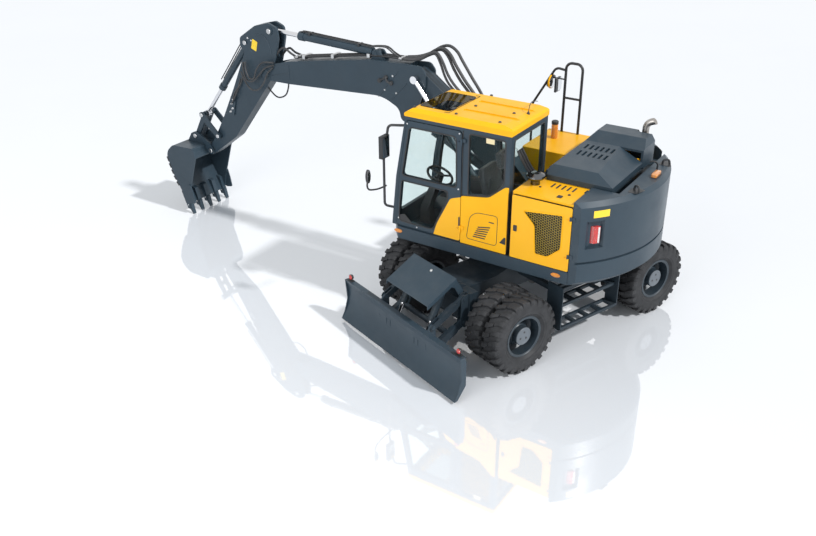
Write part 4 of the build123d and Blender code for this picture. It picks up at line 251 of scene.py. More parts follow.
def split_paint(name, first, second, planes, width=0.004):
    """Two finishes on one panel: the second where the point lies below every plane (normal, distance, rounding)."""
    material, tree, shader = blank(name)
    place = add(tree, "TexCoord").outputs["Object"]
    level = None
    for normal, distance, rounding in planes:
        dot = add(tree, "VectorMath", {"operation": "DOT_PRODUCT"})
        tree.links.new(place, dot.inputs[0])
        dot.inputs[1].default_value = normal
        above = math_node(tree, "SUBTRACT", dot.outputs["Value"], distance)
        level = above if level is None else math_node(tree, "SMOOTH_MAX", level, above, rounding)
    mask = spread(tree, level, -width / 2, width / 2, 1.0, 0.0)
    tones = [place_group(tree, "tone_drift", Base=base, Shade=shade, Scale=1.5, Fleck=0.0)["Color"]
             for base, shade in (first, second)]
    relief = place_group(tree, "skin_relief", Grain=500.0, Waviness=0.3, Low=0.3, High=0.4)
    coat(tree, shader, blend_colour(tree, mask, *tones), 0.03, relief, 0.1, 0.001)
    set_shader(shader, Specular_IOR_Level=0.3)
    return material


def darker(colour, share):
    """The colour at a share of its brightness."""
    return tuple(share * part for part in colour[:3]) + (1,)


def clear_glass(name, colour, roughness):
    """A tinted pane with faint smears in its roughness."""
    material, tree, shader = blank(name)
    tint(tree, shader, colour, darker(colour, 0.93), 1.2)
    relief = place_group(tree, "skin_relief", Grain=30.0, Waviness=0.5, Low=roughness, High=roughness + 0.05)
    tree.links.new(relief["Roughness"], shader.inputs["Roughness"])
    set_shader(shader, Transmission_Weight=1.0, IOR=1.12, Specular_IOR_Level=0.9)
    return material


def lens(name, colour):
    """A ribbed plastic lamp lens."""
    material, tree, shader = blank(name)
    place = add(tree, "TexCoord").outputs["Object"]
    ribs = add(tree, "TexWave", {"bands_direction": "Z"}, Vector=place, Scale=60.0).outputs["Fac"]
    tint(tree, shader, colour, darker(colour, 0.7), 20.0)
    raise_relief(tree, shader, ribs, 0.4, 0.002)
    set_shader(shader, Roughness=0.18, Coat_Weight=0.8, Specular_IOR_Level=0.6)
    return material


def cloth(name, base, shade):
    """Woven seat cloth."""
    material, tree, shader = blank(name)
    tint(tree, shader, base, shade, 14.0, 0.5)
    raise_relief(tree, shader, place_group(tree, "plain_weave", Threads=220.0)["Height"], 0.5, 0.001)
    set_shader(shader, Roughness=0.9, Sheen_Weight=0.3)
    return material


def tyre_rubber(name):
    """Black tyre rubber with a little dust and moulding ripples."""
    material, tree, shader = blank(name)
    black, worn = (0.011, 0.012, 0.014, 1), (0.026, 0.027, 0.030, 1)
    tone = place_group(tree, "tone_drift", Base=black, Shade=worn, Scale=9.0, Fleck=0.5)
    relief = place_group(tree, "skin_relief", Grain=260.0, Waviness=0.8, Low=0.55, High=0.75)
    coat(tree, shader, tone["Color"], 0.16, relief, 0.35, 0.002, Dust=(0.085, 0.085, 0.088, 1))
    set_shader(shader, Specular_IOR_Level=0.4)
    return material


# ---- the finishes ----
SLATE, SLATE_SHADE = (0.030, 0.050, 0.068, 1), (0.025, 0.042, 0.058, 1)
YELLOW, YELLOW_SHADE = (0.93, 0.47, 0.012, 1), (0.89, 0.43, 0.010, 1)
# near-black pair: painted shade for the service door's bars and skin behind the grille mesh (behind the GRILLE_BACK
# plane)
RECESS_SHADE_BLACK, RECESS_SHADE_DARK = (0.012, 0.012, 0.013, 1), (0.010, 0.010, 0.011, 1)
DOOR_SWEEP = (((1.0, 0.0, 0.28), 1.284, 0.0), ((0.894, 0.0, 0.447), 1.449, 0.02), ((0.330, 0.0, 0.944), 2.050, 0.04))
GRILLE_BACK = (((0.0, 1.0, 0.0), 1.2466, 0.0),)
# name, main colour, second colour, settings
OPAQUE = (
    ("slate_paint", SLATE, SLATE_SHADE,
     dict(dust=0.04, low=0.32, high=0.44, Specular_IOR_Level=0.28, Coat_Weight=0.04, Coat_Roughness=0.2)),
    # chassis_paint is the chassis's own dark slate, darkened further as painted shade of the underside between the
    # wheels; its dust is real
    ("chassis_paint", (0.018, 0.030, 0.041, 1), (0.013, 0.022, 0.031, 1),
     dict(dust=0.07, low=0.42, high=0.6, Specular_IOR_Level=0.3)),
    ("yellow_paint", YELLOW, YELLOW_SHADE,
     dict(dust=0.02, fleck=0.0, low=0.3, high=0.4, Specular_IOR_Level=0.15, Coat_Weight=0.02, Coat_Roughness=0.15)),
    ("rim_paint", (0.026, 0.040, 0.053, 1), (0.019, 0.030, 0.040, 1), dict(dust=0.06, low=0.34, high=0.46)),
    ("dark_metal", (0.030, 0.032, 0.035, 1), (0.018, 0.019, 0.021, 1),
     dict(low=0.5, high=0.7, grain=180.0, strength=0.3)),
    ("black_metal", (0.020, 0.022, 0.025, 1), (0.014, 0.015, 0.018, 1), dict(dust=0.05, high=0.45)),
    ("rod_chrome", (0.72, 0.73, 0.75, 1), (0.62, 0.63, 0.66, 1),
     dict(dust=0.0, fleck=0.0, low=0.10, high=0.2, strength=0.02, Metallic=1.0)),
    ("black_plastic", (0.018, 0.019, 0.021, 1), (0.026, 0.027, 0.030, 1),
     dict(dust=0.08, low=0.45, high=0.6, grain=900.0, strength=0.25)),
    ("exhaust_steel", (0.42, 0.41, 0.40, 1), (0.30, 0.27, 0.24, 1),
     dict(scale=9.0, dust=0.0, scuff=0.4, low=0.22, high=0.4, Metallic=1.0)),
    ("hub_grey", (0.115, 0.135, 0.155, 1), (0.09, 0.107, 0.125, 1), dict(dust=0.1, low=0.4)),
    ("zinc_steel", (0.62, 0.63, 0.64, 1), (0.48, 0.49, 0.50, 1),
     dict(scale=8.0, dust=0.0, low=0.25, high=0.4, Metallic=1.0)),
    ("hose_rubber", (0.022, 0.024, 0.027, 1), (0.034, 0.036, 0.040, 1),
     dict(scale=9.0, low=0.45, high=0.6, grain=320.0, strength=0.25)),
    ("bowl_steel", (0.16, 0.165, 0.175, 1), (0.11, 0.115, 0.12, 1),
     dict(dust=0.0, fleck=0.0, low=0.12, high=0.2, Metallic=1.0)),
    ("grille_wire", (0.46, 0.33, 0.05, 1), (0.40, 0.28, 0.04, 1), dict(dust=0.0, low=0.4)),
    ("cream_plate", (0.80, 0.68, 0.42, 1), (0.76, 0.64, 0.38, 1), dict(dust=0.0, low=0.4)),
    ("blank_plate", (0.90, 0.62, 0.03, 1), (0.86, 0.58, 0.03, 1), dict(dust=0.02, high=0.45)),
    ("mirror_glass", (0.78, 0.80, 0.82, 1), (0.74, 0.76, 0.78, 1),
     dict(dust=0.0, fleck=0.0, low=0.02, high=0.05, strength=0.01, Metallic=1.0)))
MATERIALS = {name: opaque(name, main, second, **settings) for name, main, second, settings in OPAQUE}
# maker, name, what it takes
OTHERS = (
    (split_paint, "door_paint", (SLATE, SLATE_SHADE), (YELLOW, YELLOW_SHADE), DOOR_SWEEP),
    # the grille door: yellow paint in front, painted shade behind the grille mesh
    (split_paint, "grille_door_paint", (YELLOW, YELLOW_SHADE), (RECESS_SHADE_BLACK, RECESS_SHADE_DARK), GRILLE_BACK, 0.0005),
    (tyre_rubber, "tyre_rubber"),
    (clear_glass, "cab_window", (0.86, 0.93, 0.92, 1), 0.0),
    (clear_glass, "dark_window", (0.22, 0.26, 0.28, 1), 0.02),
    (cloth, "seat_fabric", (0.030, 0.032, 0.036, 1), (0.055, 0.057, 0.062, 1)),
    (lens, "lamp_plastic", (0.55, 0.02, 0.015, 1)),
    (lens, "amber_lens", (0.80, 0.28, 0.03, 1)),
    (lens, "white_lens", (0.80, 0.80, 0.78, 1)))
MATERIALS.update((name, make(name, *given)) for make, name, *given in OTHERS)
OWN_FINISH = {"blade": "slate_paint", "blade_cover": "slate_paint", "cab_door": "door_paint",
              "service_door": "grille_door_paint", "air_precleaner": "bowl_steel"}
SLOTS = {part["node"]: part["material_slot"] for part in frame["record"]["subparts"]}
for node in nodes.values():
    node.data.materials.clear()
    node.data.materials.append(MATERIALS[OWN_FINISH.get(node.name, SLOTS[node.name])])

# ---- mesh helpers ----

AXLE = Vector(joints["wheel_drive_left_spin"]["axis"]).normalized()
UNDER = Matrix.Rotation(math.atan2(AXLE.y, AXLE.x) - math.pi / 2, 3, "Z")
SIDES = (-1, 1)
SHARP_ANGLE = math.radians(32)


def skin(mesh, rings, loop=False):
    """Join rings of points with faces; loop joins the last ring to the first, otherwise the ends are closed."""
    rows = [[mesh.verts.new(point) for point in points] for points in rings]
    pairs = list(zip(rows, rows[1:]))
    if loop:
        pairs.append((rows[-1], rows[0]))
    for low, high in pairs:
        for index in range(len(low)):
            after = (index + 1) % len(low)
            mesh.faces.new((low[index], low[after], high[after], high[index]))
    if not loop:
        mesh.faces.new(tuple(reversed(rows[0])))
        mesh.faces.new(rows[-1])


def across(axis):
    """A unit axis and two directions square to it."""
    axis = Vector(axis).normalized()
    side = axis.cross(Vector((0, 0, 1)))
    side = side.normalized() if side.length > 0.05 else Vector((1, 0, 0))
    return axis, side, side.cross(axis)


def around(centre, side, up, turn, radius):
    """The point at a turn in radians on a circle."""
    return centre + (side * math.cos(turn) + up * math.sin(turn)) * radius


def ring(centre, side, up, radius, sides):
    """Points spaced evenly round a circle."""
    return [around(centre, side, up, math.tau * index / sides, radius) for index in range(sides)]


def turned(mesh, profile, centre, axis, sides=24, loop=False):
    """A turned form: (distance along, radius) rows about an axis."""
    axis, side, up = across(axis)
    rings = [ring(Vector(centre) + axis * along, side, up, max(radius, 1e-4), sides) for along, radius in profile]
    skin(mesh, rings, loop)


def slab(mesh, outline, low, high, way):
    """A plate with an outline of two coordinates, between two levels along x, y or z."""
    order = {"x": lambda a, b, c: (c, a, b), "y": lambda a, b, c: (a, c, b), "z": lambda a, b, c: (a, b, c)}[way]
    skin(mesh, [[order(a, b, level) for a, b in outline] for level in (low, high)])


def box(mesh, x_span, y_span, z_span):
    """A box between pairs of limits."""
    (x0, x1), (y0, y1) = x_span, y_span
    slab(mesh, [(x0, y0), (x1, y0), (x1, y1), (x0, y1)], *z_span, "z")


def beam(mesh, start, end, width, depth, facing=(0, 0, 1)):
    """A flat bar between two points; facing is the way its broad side looks."""
    start, end = Vector(start), Vector(end)
    axis = (end - start).normalized()
    side = axis.cross(Vector(facing)).normalized() * width / 2
    rise = side.cross(axis).normalized() * depth / 2
    skin(mesh, [[middle + side + rise, middle - side + rise, middle - side - rise, middle + side - rise]
                for middle in (start, end)])


def smooth_path(points, steps):
    """Points along a smooth curve that passes through the given ones."""
    points = [Vector(point) for point in points]
    last = len(points) - 1
    made = []
    for index in range(last):
        before, first, second, after = (points[min(max(index + shift, 0), last)] for shift in (-1, 0, 1, 2))
        for step in range(steps):
            t = step / steps
            made.append(0.5 * (2 * first + (second - before) * t
                               + (2 * before - 5 * first + 4 * second - after) * t * t
                               + (3 * first - before - 3 * second + after) * t ** 3))
    return made + [points[-1]]


def tube(mesh, points, radius, sides=10, steps=6, loop=False):
    """A round tube along a smooth curve or, with no steps, along straight runs."""
    path = smooth_path(points, steps) if steps else [Vector(point) for point in points]
    count = len(path)
    rings = []
    side = None
    for index, point in enumerate(path):
        if loop:
            ahead = path[(index + 1) % count] - path[index - 1]
        else:
            ahead = path[min(index + 1, count - 1)] - path[max(index - 1, 0)]
        axis = ahead.normalized()
        side = across(axis)[1] if side is None else (side - axis * side.dot(axis)).normalized()
        rings.append(ring(point, side, side.cross(axis), radius, sides))
    skin(mesh, rings, loop)


def rounded(corners, steps=4):
    """Points round an outline of (a, b, corner radius) rows."""
    made = []
    for index, (a, b, radius) in enumerate(corners):
        here = Vector((a, b))
        to_before = Vector(corners[index - 1][:2]) - here
        to_after = Vector(corners[(index + 1) % len(corners)][:2]) - here
        cut = min(radius, 0.45 * to_before.length, 0.45 * to_after.length)
        first, last = here + to_before.normalized() * cut, here + to_after.normalized() * cut
        for step in range(steps + 1):
            t = step / steps
            made.append(tuple(first * (1 - t) ** 2 + here * 2 * t * (1 - t) + last * t * t))
    return made


def plate(mesh, a_span, b_span, levels, way, radius, steps=3):
    """A rectangular plate with rounded corners, between two levels along x, y or z."""
    (a0, a1), (b0, b1) = a_span, b_span
    corners = [(a0, b0, radius), (a1, b0, radius), (a1, b1, radius), (a0, b1, radius)]
    slab(mesh, rounded(corners, steps), *levels, way)


def oval(a, b, half_a, half_b, sides):
    """Points round an oval outline."""
    return [(a + half_a * math.cos(turn), b + half_b * math.sin(turn))
            for turn in (math.tau * index / sides for index in range(sides))]


def bolt(mesh, place, way, radius=0.012, height=0.009):
    """A hexagon head on a washer."""
    turned(mesh, [(-0.002, radius * 1.35), (0.002, radius * 1.35), (0.002, 0.0)], place, way, 14)
    turned(mesh, [(0.002, radius), (height * 0.85, radius), (height, radius * 0.8), (height, 0.0)], place, way, 6)


def cap(mesh, place, way, radius, rim, height, sides=28):
    """A round cap with a chamfered edge above its rim."""
    turned(mesh, [(0.0, radius), (rim, radius), (height, radius - 0.006), (height, 0.0)], place, way, sides)


def collar(mesh, place, way, radius, sides):
    """A short open ring round a pipe."""
    bore = radius - 0.005
    turned(mesh, [(-0.03, radius), (0.03, radius), (0.03, bore), (-0.03, bore)], place, way, sides, loop=True)


def finish(name, mesh, body, material, bevel=0.0, replaces=()):
    """Turn a mesh under construction into a named piece that rides on a body; given a pair of bodies, it stays where
    it is drawn.
    """
    bmesh.ops.remove_doubles(mesh, verts=mesh.verts, dist=2e-5)
    bmesh.ops.recalc_face_normals(mesh, faces=mesh.faces)
    if bevel:
        edges = [edge for edge in mesh.edges if edge.is_manifold and edge.calc_face_angle() > 0.7]
        bmesh.ops.bevel(mesh, geom=edges, offset=bevel, segments=2, profile=0.6, affect="EDGES", clamp_overlap=True)
    data = bpy.data.meshes.new(name)
    mesh.to_mesh(data)
    mesh.free()
    data.shade_smooth()
    data.set_sharp_from_angle(angle=SHARP_ANGLE)
    data.materials.append(MATERIALS[material])
    made = bpy.data.objects.new(name, data)
    bpy.context.scene.collection.objects.link(made)
    if isinstance(body, tuple):
        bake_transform(made)
    else:
        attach(made, body)
    if replaces:
        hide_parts(*replaces)
    return made


def under(mesh):
    """Turn a mesh drawn along the undercarriage to where the undercarriage stands."""
    bmesh.ops.rotate(mesh, verts=mesh.verts, cent=(0, 0, 0), matrix=UNDER)
    return mesh


def piped(name, body, material, runs, radius, sides=10, steps=6):
    """A piece made of round tubes, one for each run of points."""
    mesh = bmesh.new()
    for run in runs:
        tube(mesh, run, radius, sides, steps)
    finish(name, mesh, body, material)


def swayed(line, y, sway=0.0, lift=0.0):
    """A line of (x, z) points set at a y and raised; its middle sways to one side."""
    last = len(line) - 1
    return [(x, y + sway * math.sin(math.pi * index / last), z + lift) for index, (x, z) in enumerate(line)]


# ---- wheels ----
WHEELS = (("drive_left", 1), ("drive_right", -1), ("steer_left", 1), ("steer_right", -1))
TWIN_OFFSET = 0.1625
LUGS = 24


def tyre_carcass(mesh, centre):
    """The rounded tyre body with its bead, side ribs and crown."""
    half = [(0.088, 0.2635), (0.096, 0.2840), (0.112, 0.302), (0.1270, 0.322), (0.1300, 0.325), (0.1290, 0.331),
            (0.1335, 0.352), (0.1360, 0.356), (0.1350, 0.363), (0.1372, 0.400), (0.1352, 0.440), (0.1265, 0.474),
            (0.108, 0.493), (0.060, 0.500), (0.0, 0.502)]
    profile = half + [(-along, radius) for along, radius in reversed(half[:-1])]
    turned(mesh, profile, centre, AXLE, 96, loop=True)


def tyre_lugs(mesh, centre):
    """Deep lugs that start beside the middle, bend, widen and wrap the shoulder."""
    _, side, up = across(AXLE)
    # distance from the middle, degrees of bend, top radius, base radius, half width in degrees
    stations = [(0.005, -2.6, 0.5215, 0.494, 2.5), (0.038, -1.2, 0.5250, 0.494, 3.1),
                (0.070, 1.2, 0.5250, 0.492, 3.6), (0.112, 2.2, 0.5220, 0.480, 4.1),
                (0.1330, 2.3, 0.5080, 0.452, 4.0), (0.1385, 2.3, 0.4780, 0.432, 3.2)]
    for way in SIDES:
        for index in range(LUGS):
            first = (index + (0.5 if way > 0 else 0.0)) * 360 / LUGS
            rings = []
            for along, shift, top, base, half in stations:
                section = ((-half, base), (-half * 0.93, top - 0.005), (-half * 0.80, top),
                           (half * 0.80, top), (half * 0.93, top - 0.005), (half, base))
                middle = centre + AXLE * way * along
                rings.append([around(middle, side, up, math.radians(first + way * shift + turn), radius)
                              for turn, radius in section])
            skin(mesh, rings)


def make_wheels():
    """Twin tyres, hub caps with black discs as painted shade of their three holes, wheel nuts and flange lips for
    every wheel.
    """
    _, side, up = across(AXLE)
    for name, way in WHEELS:
        body = "wheel_" + name
        low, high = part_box("tyres_" + name)
        middle = (low + high) / 2
        out = AXLE * way
        mesh = bmesh.new()
        for offset in (-TWIN_OFFSET, TWIN_OFFSET):
            tyre_carcass(mesh, middle + AXLE * offset)
            tyre_lugs(mesh, middle + AXLE * offset)
        finish("tyre_pair_" + name, mesh, body, "tyre_rubber", replaces=("tyres_" + name,))
        face = middle + out * 0.2455
        mesh = bmesh.new()
        dish = [(-0.004, 0.121), (0.006, 0.121), (0.010, 0.116), (0.010, 0.098), (0.007, 0.094), (0.007, 0.0)]
        turned(mesh, dish, face, out, 48)
        finish("hub_cap_" + name, mesh, body, "hub_grey")
        # black plastic discs: painted shade of the three holes in each hub cap
        mesh = bmesh.new()
        for index in range(3):
            place = around(face, side, up, math.radians(100 + 120 * index), 0.056)
            hole_disc = [(0.004, 0.015), (0.0085, 0.015), (0.0085, 0.011), (0.0075, 0.010), (0.0075, 0.0)]
            turned(mesh, hole_disc, place, out, 16)
        finish("hub_plugs_" + name, mesh, body, "black_plastic")
        mesh = bmesh.new()
        for index in range(10):
            bolt(mesh, around(middle + out * 0.056, side, up, math.radians(36 * index), 0.200), out, 0.017, 0.030)
        lip = [(0.2560, 0.277), (0.2600, 0.2840), (0.2650, 0.2835), (0.2655, 0.274), (0.2600, 0.268)]
        turned(mesh, lip, middle, out, 72, loop=True)
        finish("rim_lip_" + name, mesh, body, "rim_paint")


# ---- boom, arm and their hoses ----
BOOM_Y = -0.06
BOOM_FACE = 0.1405
ARM_FACE = 0.1005
PIPE_ROWS = (-0.135, -0.098, -0.060, -0.022, 0.015)
LOW_JOINT = ("lower_boom", "outer_boom", (1.05, BOOM_Y, 2.80), (2.12, BOOM_Y, 3.26))
TIP_JOINT = ("outer_boom", "stick", (4.15, BOOM_Y, 3.0), (4.50, BOOM_Y, 2.95))
ARM_LOOP = ("outer_boom", "stick", (4.56, 0.1, 2.8), (4.95, 0.1, 2.55))
UNDER_LOOP = ("outer_boom", "stick", (4.38, BOOM_Y, 2.5), (4.72, BOOM_Y, 2.36))


def make_boom_lines():
    """Steel pipes on the booms, their clamps, and the hoses that arch over the joints."""
    low_top = [(0.34, 2.14), (0.46, 2.23), (0.58, 2.315), (0.72, 2.415)]
    high_top = [(2.16, 3.225), (2.70, 3.20), (3.40, 3.095), (4.15, 2.975)]
    clamps = bmesh.new()
    for y in PIPE_ROWS:
        collar(clamps, (0.71, y, 2.458), (0.82, 0, 0.57), 0.025, 10)
    box(clamps, (0.50, 0.55), (-0.16, 0.04), (2.27, 2.345))
    runs = [swayed(low_top, y, lift=0.05) for y in PIPE_ROWS]
    piped("low_boom_pipes", "lower_boom", "zinc_steel", runs, 0.013, 8, 4)
    finish("low_boom_clamps", clamps, "lower_boom", "zinc_steel", bevel=0.003)
    tall = [(0.70, 2.452), (0.84, 2.64), (0.98, 2.90), (1.15, 3.12), (1.30, 3.32), (1.39, 3.44), (1.51, 3.50),
            (1.64, 3.47), (1.80, 3.37), (1.98, 3.30), (2.18, 3.265)]
    low = [(0.70, 2.452), (0.95, 2.66), (1.20, 2.85), (1.40, 3.00), (1.49, 3.12), (1.56, 3.28), (1.64, 3.40),
           (1.75, 3.37), (1.88, 3.30), (2.02, 3.27), (2.18, 3.265)]
    for index, (y, radius) in enumerate(zip(PIPE_ROWS, (0.021, 0.022, 0.020, 0.019, 0.017))):
        share = index / 4
        line = [(a[0] + (b[0] - a[0]) * share, a[1] + (b[1] - a[1]) * share) for a, b in zip(tall, low)]
        run = swayed(line, y, 0.035 if index % 2 else -0.02)
        piped("joint_hose_%d" % index, LOW_JOINT, "hose_rubber", [run], radius, 12)
    clamps = bmesh.new()
    rows = (-0.128, -0.06, 0.008)
    for y in rows:
        for x, z in ((2.20, 3.262), (4.10, 3.022)):
            collar(clamps, (x, y, z), (1, 0, -0.06), 0.022, 8)
    for x, z in ((2.75, 3.228), (3.40, 3.128), (3.95, 3.040)):
        box(clamps, (x - 0.025, x + 0.025), (-0.155, 0.035), (z - 0.025, z + 0.035))
    runs = [swayed(high_top, y, lift=0.04) for y in rows]
    piped("high_boom_pipes", "outer_boom", "black_metal", runs, 0.014, 8, 4)
    finish("high_boom_clamps", clamps, "outer_boom", "zinc_steel", bevel=0.002)
    tips = ((-0.128, [(4.10, 3.02), (4.24, 3.05), (4.34, 3.10), (4.42, 3.06), (4.50, 2.98)]),
            (0.008, [(4.10, 3.02), (4.22, 3.07), (4.34, 3.13), (4.44, 3.08), (4.52, 2.98)]))
    for index, (y, line) in enumerate(tips):
        piped("tip_hose_%d" % index, TIP_JOINT, "hose_rubber", [swayed(line, y)], 0.017)
    outer = [(4.50, 2.86), (4.66, 2.80), (4.80, 2.66), (4.92, 2.56), (5.05, 2.56), (5.12, 2.68), (5.14, 2.82)]
    inner = [(4.50, 2.90), (4.70, 2.88), (4.82, 2.76), (4.88, 2.62), (4.98, 2.60), (5.06, 2.70), (5.09, 2.84)]
    wide = [(4.52, 2.82), (4.62, 2.72), (4.70, 2.56), (4.82, 2.44), (4.97, 2.42), (5.10, 2.52), (5.20, 2.66)]
    for index, (y, radius, line) in enumerate(((0.096, 0.014, outer), (0.104, 0.013, inner), (0.100, 0.012, wide))):
        piped("arm_hose_%d" % index, ARM_LOOP, "hose_rubber", [swayed(line, y, 0.05)], radius)
    line = [(4.36, 2.63), (4.37, 2.50), (4.44, 2.36), (4.60, 2.30), (4.74, 2.38), (4.80, 2.46)]
    piped("under_loop_hose", UNDER_LOOP, "hose_rubber", [swayed(line, BOOM_Y)], 0.012)


def make_boom_marks():
    """Weld seams, pin caps and hose ports on both faces of the upper boom."""
    seams = (((2.547, 2.683), (2.202, 3.098)), ((2.32, 2.672), (2.057, 2.95)), ((4.212, 2.90), (4.40, 2.89)),
             ((4.212, 2.90), (4.212, 2.66)), ((4.212, 2.78), (4.60, 2.68)))
    sockets = ((2.52, 2.926), (2.41, 2.985), (2.32, 2.915))
    middles = ((2.47, 0.034, 2.950), (2.37, 0.036, 2.940))
    welds, caps, ports = bmesh.new(), bmesh.new(), bmesh.new()
    for side in SIDES:
        face, way = BOOM_Y + side * BOOM_FACE, (0, side, 0)
        for seam in seams:
            tube(welds, swayed(seam, face), 0.006, 6, 0)
        cap(welds, (4.70, face, 2.70), way, 0.070, 0.010, 0.014, 32)
        cap(caps, (1.90, face, 3.04), way, 0.042, 0.010, 0.016, 32)
        for x, z in ((2.44, 2.80), (2.24, 2.78), (2.30, 3.02)):
            bolt(caps, (x, face, z), way, 0.011, 0.010)
        for x, z in sockets:
            neck = [(0.0, 0.034), (0.012, 0.034), (0.016, 0.028), (0.030, 0.028), (0.034, 0.020), (0.034, 0.0)]
            turned(ports, neck, (x, face, z), way, 8)
        ends = [(2.53, face + side * 0.026, 2.926)] + [(x, face + side * 0.026, z) for x, z in sockets[1:]]
        for start, (x, out, z), end in zip(ends, middles, ends[1:]):
            tube(ports, [start, (x, face + side * out, z), end], 0.014, 8, 6)
    finish("boom_weld_beads", welds, "outer_boom", "slate_paint")
    finish("boom_pin_caps", caps, "outer_boom", "zinc_steel")
    finish("boom_ports", ports, "outer_boom", "black_metal")


def make_arm_marks():
    """A bare plate, weld seams, hose blocks with fittings and short hoses, and pin caps on the arm and bucket."""
    mesh = bmesh.new()
    leaning = rounded([(4.89, 3.01, 0.01), (4.99, 3.05, 0.01), (4.95, 3.20, 0.01), (4.85, 3.16, 0.01)], 3)
    slab(mesh, leaning, BOOM_Y + 0.1002, BOOM_Y + 0.1022, "y")
    finish("arm_blank_plate", mesh, "stick", "blank_plate")
    blocks, fittings, hoses, caps = bmesh.new(), bmesh.new(), bmesh.new(), bmesh.new()
    block = rounded([(5.40, 2.22, 0.02), (5.52, 2.20, 0.02), (5.60, 1.90, 0.02), (5.48, 1.88, 0.02)], 3)
    seam = [(4.58, 3.00), (4.60, 3.12), (4.67, 3.24), (4.77, 3.29), (4.88, 3.28)]
    # x, further out, z
    short_hoses = (((5.46, 0, 2.16), (5.38, 0.01, 2.30), (5.26, 0, 2.44), (5.20, -0.02, 2.60)),
                   ((5.50, 0, 2.08), (5.40, 0.02, 2.20), (5.32, 0, 2.36), (5.27, -0.02, 2.52)))
    for side in SIDES:
        face, way = BOOM_Y + side * ARM_FACE, (0, side, 0)
        tube(blocks, swayed(seam, face), 0.006, 6, 5)
        slab(blocks, block, face, face + side * 0.022, "y")
        for x, z in ((5.46, 2.16), (5.50, 2.08), (5.49, 2.00), (5.54, 1.94)):
            nut = [(0.0, 0.019), (0.014, 0.019), (0.018, 0.013), (0.030, 0.013), (0.030, 0.0)]
            turned(fittings, nut, (x, BOOM_Y + side * 0.1205, z), way, 6)
        out = BOOM_Y + side * 0.138
        for run in short_hoses:
            tube(hoses, [(x, out + side * further, z) for x, further, z in run], 0.011, 8, 5)
        for x, z in ((4.98, 3.17), (5.05, 3.20)):
            bolt(caps, (x, face, z), way, 0.012, 0.012)
    finish("arm_weld_and_block", blocks, "stick", "slate_paint")
    finish("arm_fittings", fittings, "stick", "zinc_steel")
    finish("arm_block_hoses", hoses, "stick", "hose_rubber")
    # x, distance from the middle, z, radius, rim, height
    arm_pins = ((4.59, 0.1122, 3.36, 0.040, 0.012, 0.016), (5.11, 0.1122, 3.12, 0.034, 0.010, 0.014),
                (5.87, 0.1662, 1.46, 0.032, 0.010, 0.014))
    guide_pins = ((6.20, 0.1662, 1.77, 0.036, 0.012, 0.016),)
    bucket_pins = ((6.10, 0.1412, 1.15, 0.038, 0.012, 0.016), (6.44, 0.1362, 1.35, 0.038, 0.012, 0.016))
    for name, mesh, body, pins in (("arm_pin_caps", caps, "stick", arm_pins),
                                   ("guide_pin_caps", bmesh.new(), "guide_links", guide_pins),
                                   ("bucket_pin_caps", bmesh.new(), "digging_bucket", bucket_pins)):
        for side in SIDES:
            for x, out, z, radius, rim, height in pins:
                cap(mesh, (x, BOOM_Y + side * out, z), (0, side, 0), radius, rim, height)
        finish(name, mesh, body, "zinc_steel")


def make_ram_lines():
    """The pipes along the rams and the hoses from their ends."""
    mesh = bmesh.new()
    rows = (-0.085, -0.035)
    for y in rows:
        line = [(2.72, 3.352), (2.90, 3.362), (3.55, 3.392), (3.98, 3.412), (4.02, 3.395)]
        tube(mesh, swayed(line, y), 0.010, 8, 4)
    for x, z in ((2.95, 3.362), (3.85, 3.402)):
        box(mesh, (x - 0.015, x + 0.015), (-0.11, -0.01), (z - 0.03, z + 0.012))
    finish("arm_ram_pipes", mesh, "arm_ram_barrel", "black_metal")
    for index, y in enumerate(rows):
        joint = ("arm_ram_barrel", "outer_boom", (2.66, y, 3.36), (2.40, y, 3.33))
        line = [(2.74, 3.353), (2.62, 3.372), (2.48, 3.375), (2.36, 3.31), (2.26, 3.27)]
        piped("arm_ram_hose_%d" % index, joint, "hose_rubber", [swayed(line, y)], 0.012)
    line = [(5.20, 3.13), (5.28, 3.06), (5.56, 2.70), (5.78, 2.42)]
    runs = [swayed(line, y) for y in (-0.09, -0.03)]
    piped("bucket_ram_pipes", "bucket_ram_barrel", "black_metal", runs, 0.009, 8, 4)


# ---- cab and upper machine ----
CAB_FACE = 1.2232
CAB_FAR_FACE = 0.2150
HOUSING_FACE = 1.2312
ROOF_Z = 3.045
DECK_Z = 2.2555
DOOR_PANES = ([(0.575, 2.79, 0.06), (1.268, 2.79, 0.06), (1.388, 2.11, 0.04), (0.56, 2.11, 0.06)],
              [(0.69, 2.035, 0.03), (1.395, 2.035, 0.03), (1.44, 1.60, 0.2), (1.44, 1.44, 0.06), (0.90, 1.44, 0.08),
               (0.86, 1.56, 0.12), (0.69, 1.90, 0.06)])
SIDE_PANE = [(0.395, 2.86, 0.04), (-0.11, 2.86, 0.04), (-0.11, 2.30, 0.06), (0.06, 2.11, 0.10), (0.395, 2.05, 0.03)]
FAR_PANES = ([(-0.11, 1.90, 0.04), (-0.11, 2.86, 0.04), (0.46, 2.86, 0.04), (0.46, 1.90, 0.04)],
             [(0.52, 1.56, 0.04), (0.52, 2.86, 0.04), (1.268, 2.86, 0.04), (1.39, 2.08, 0.10), (1.44, 1.56, 0.06)])
BACK_PANE = [(0.305, 2.12, 0.05), (1.125, 2.12, 0.05), (1.125, 2.86, 0.05), (0.305, 2.86, 0.05)]
HATCH = [(-0.045, 1.452, 0.05), (0.395, 1.452, 0.05), (0.350, 1.765, 0.05), (0.260, 1.845, 0.06),
         (-0.049, 1.863, 0.05)]


def gasket(mesh, corners, level, radius=0.010, sides=6):
    """A bead round an opening in a side wall."""
    tube(mesh, [(a, level, b) for a, b in rounded(corners)], radius, sides, 0, loop=True)


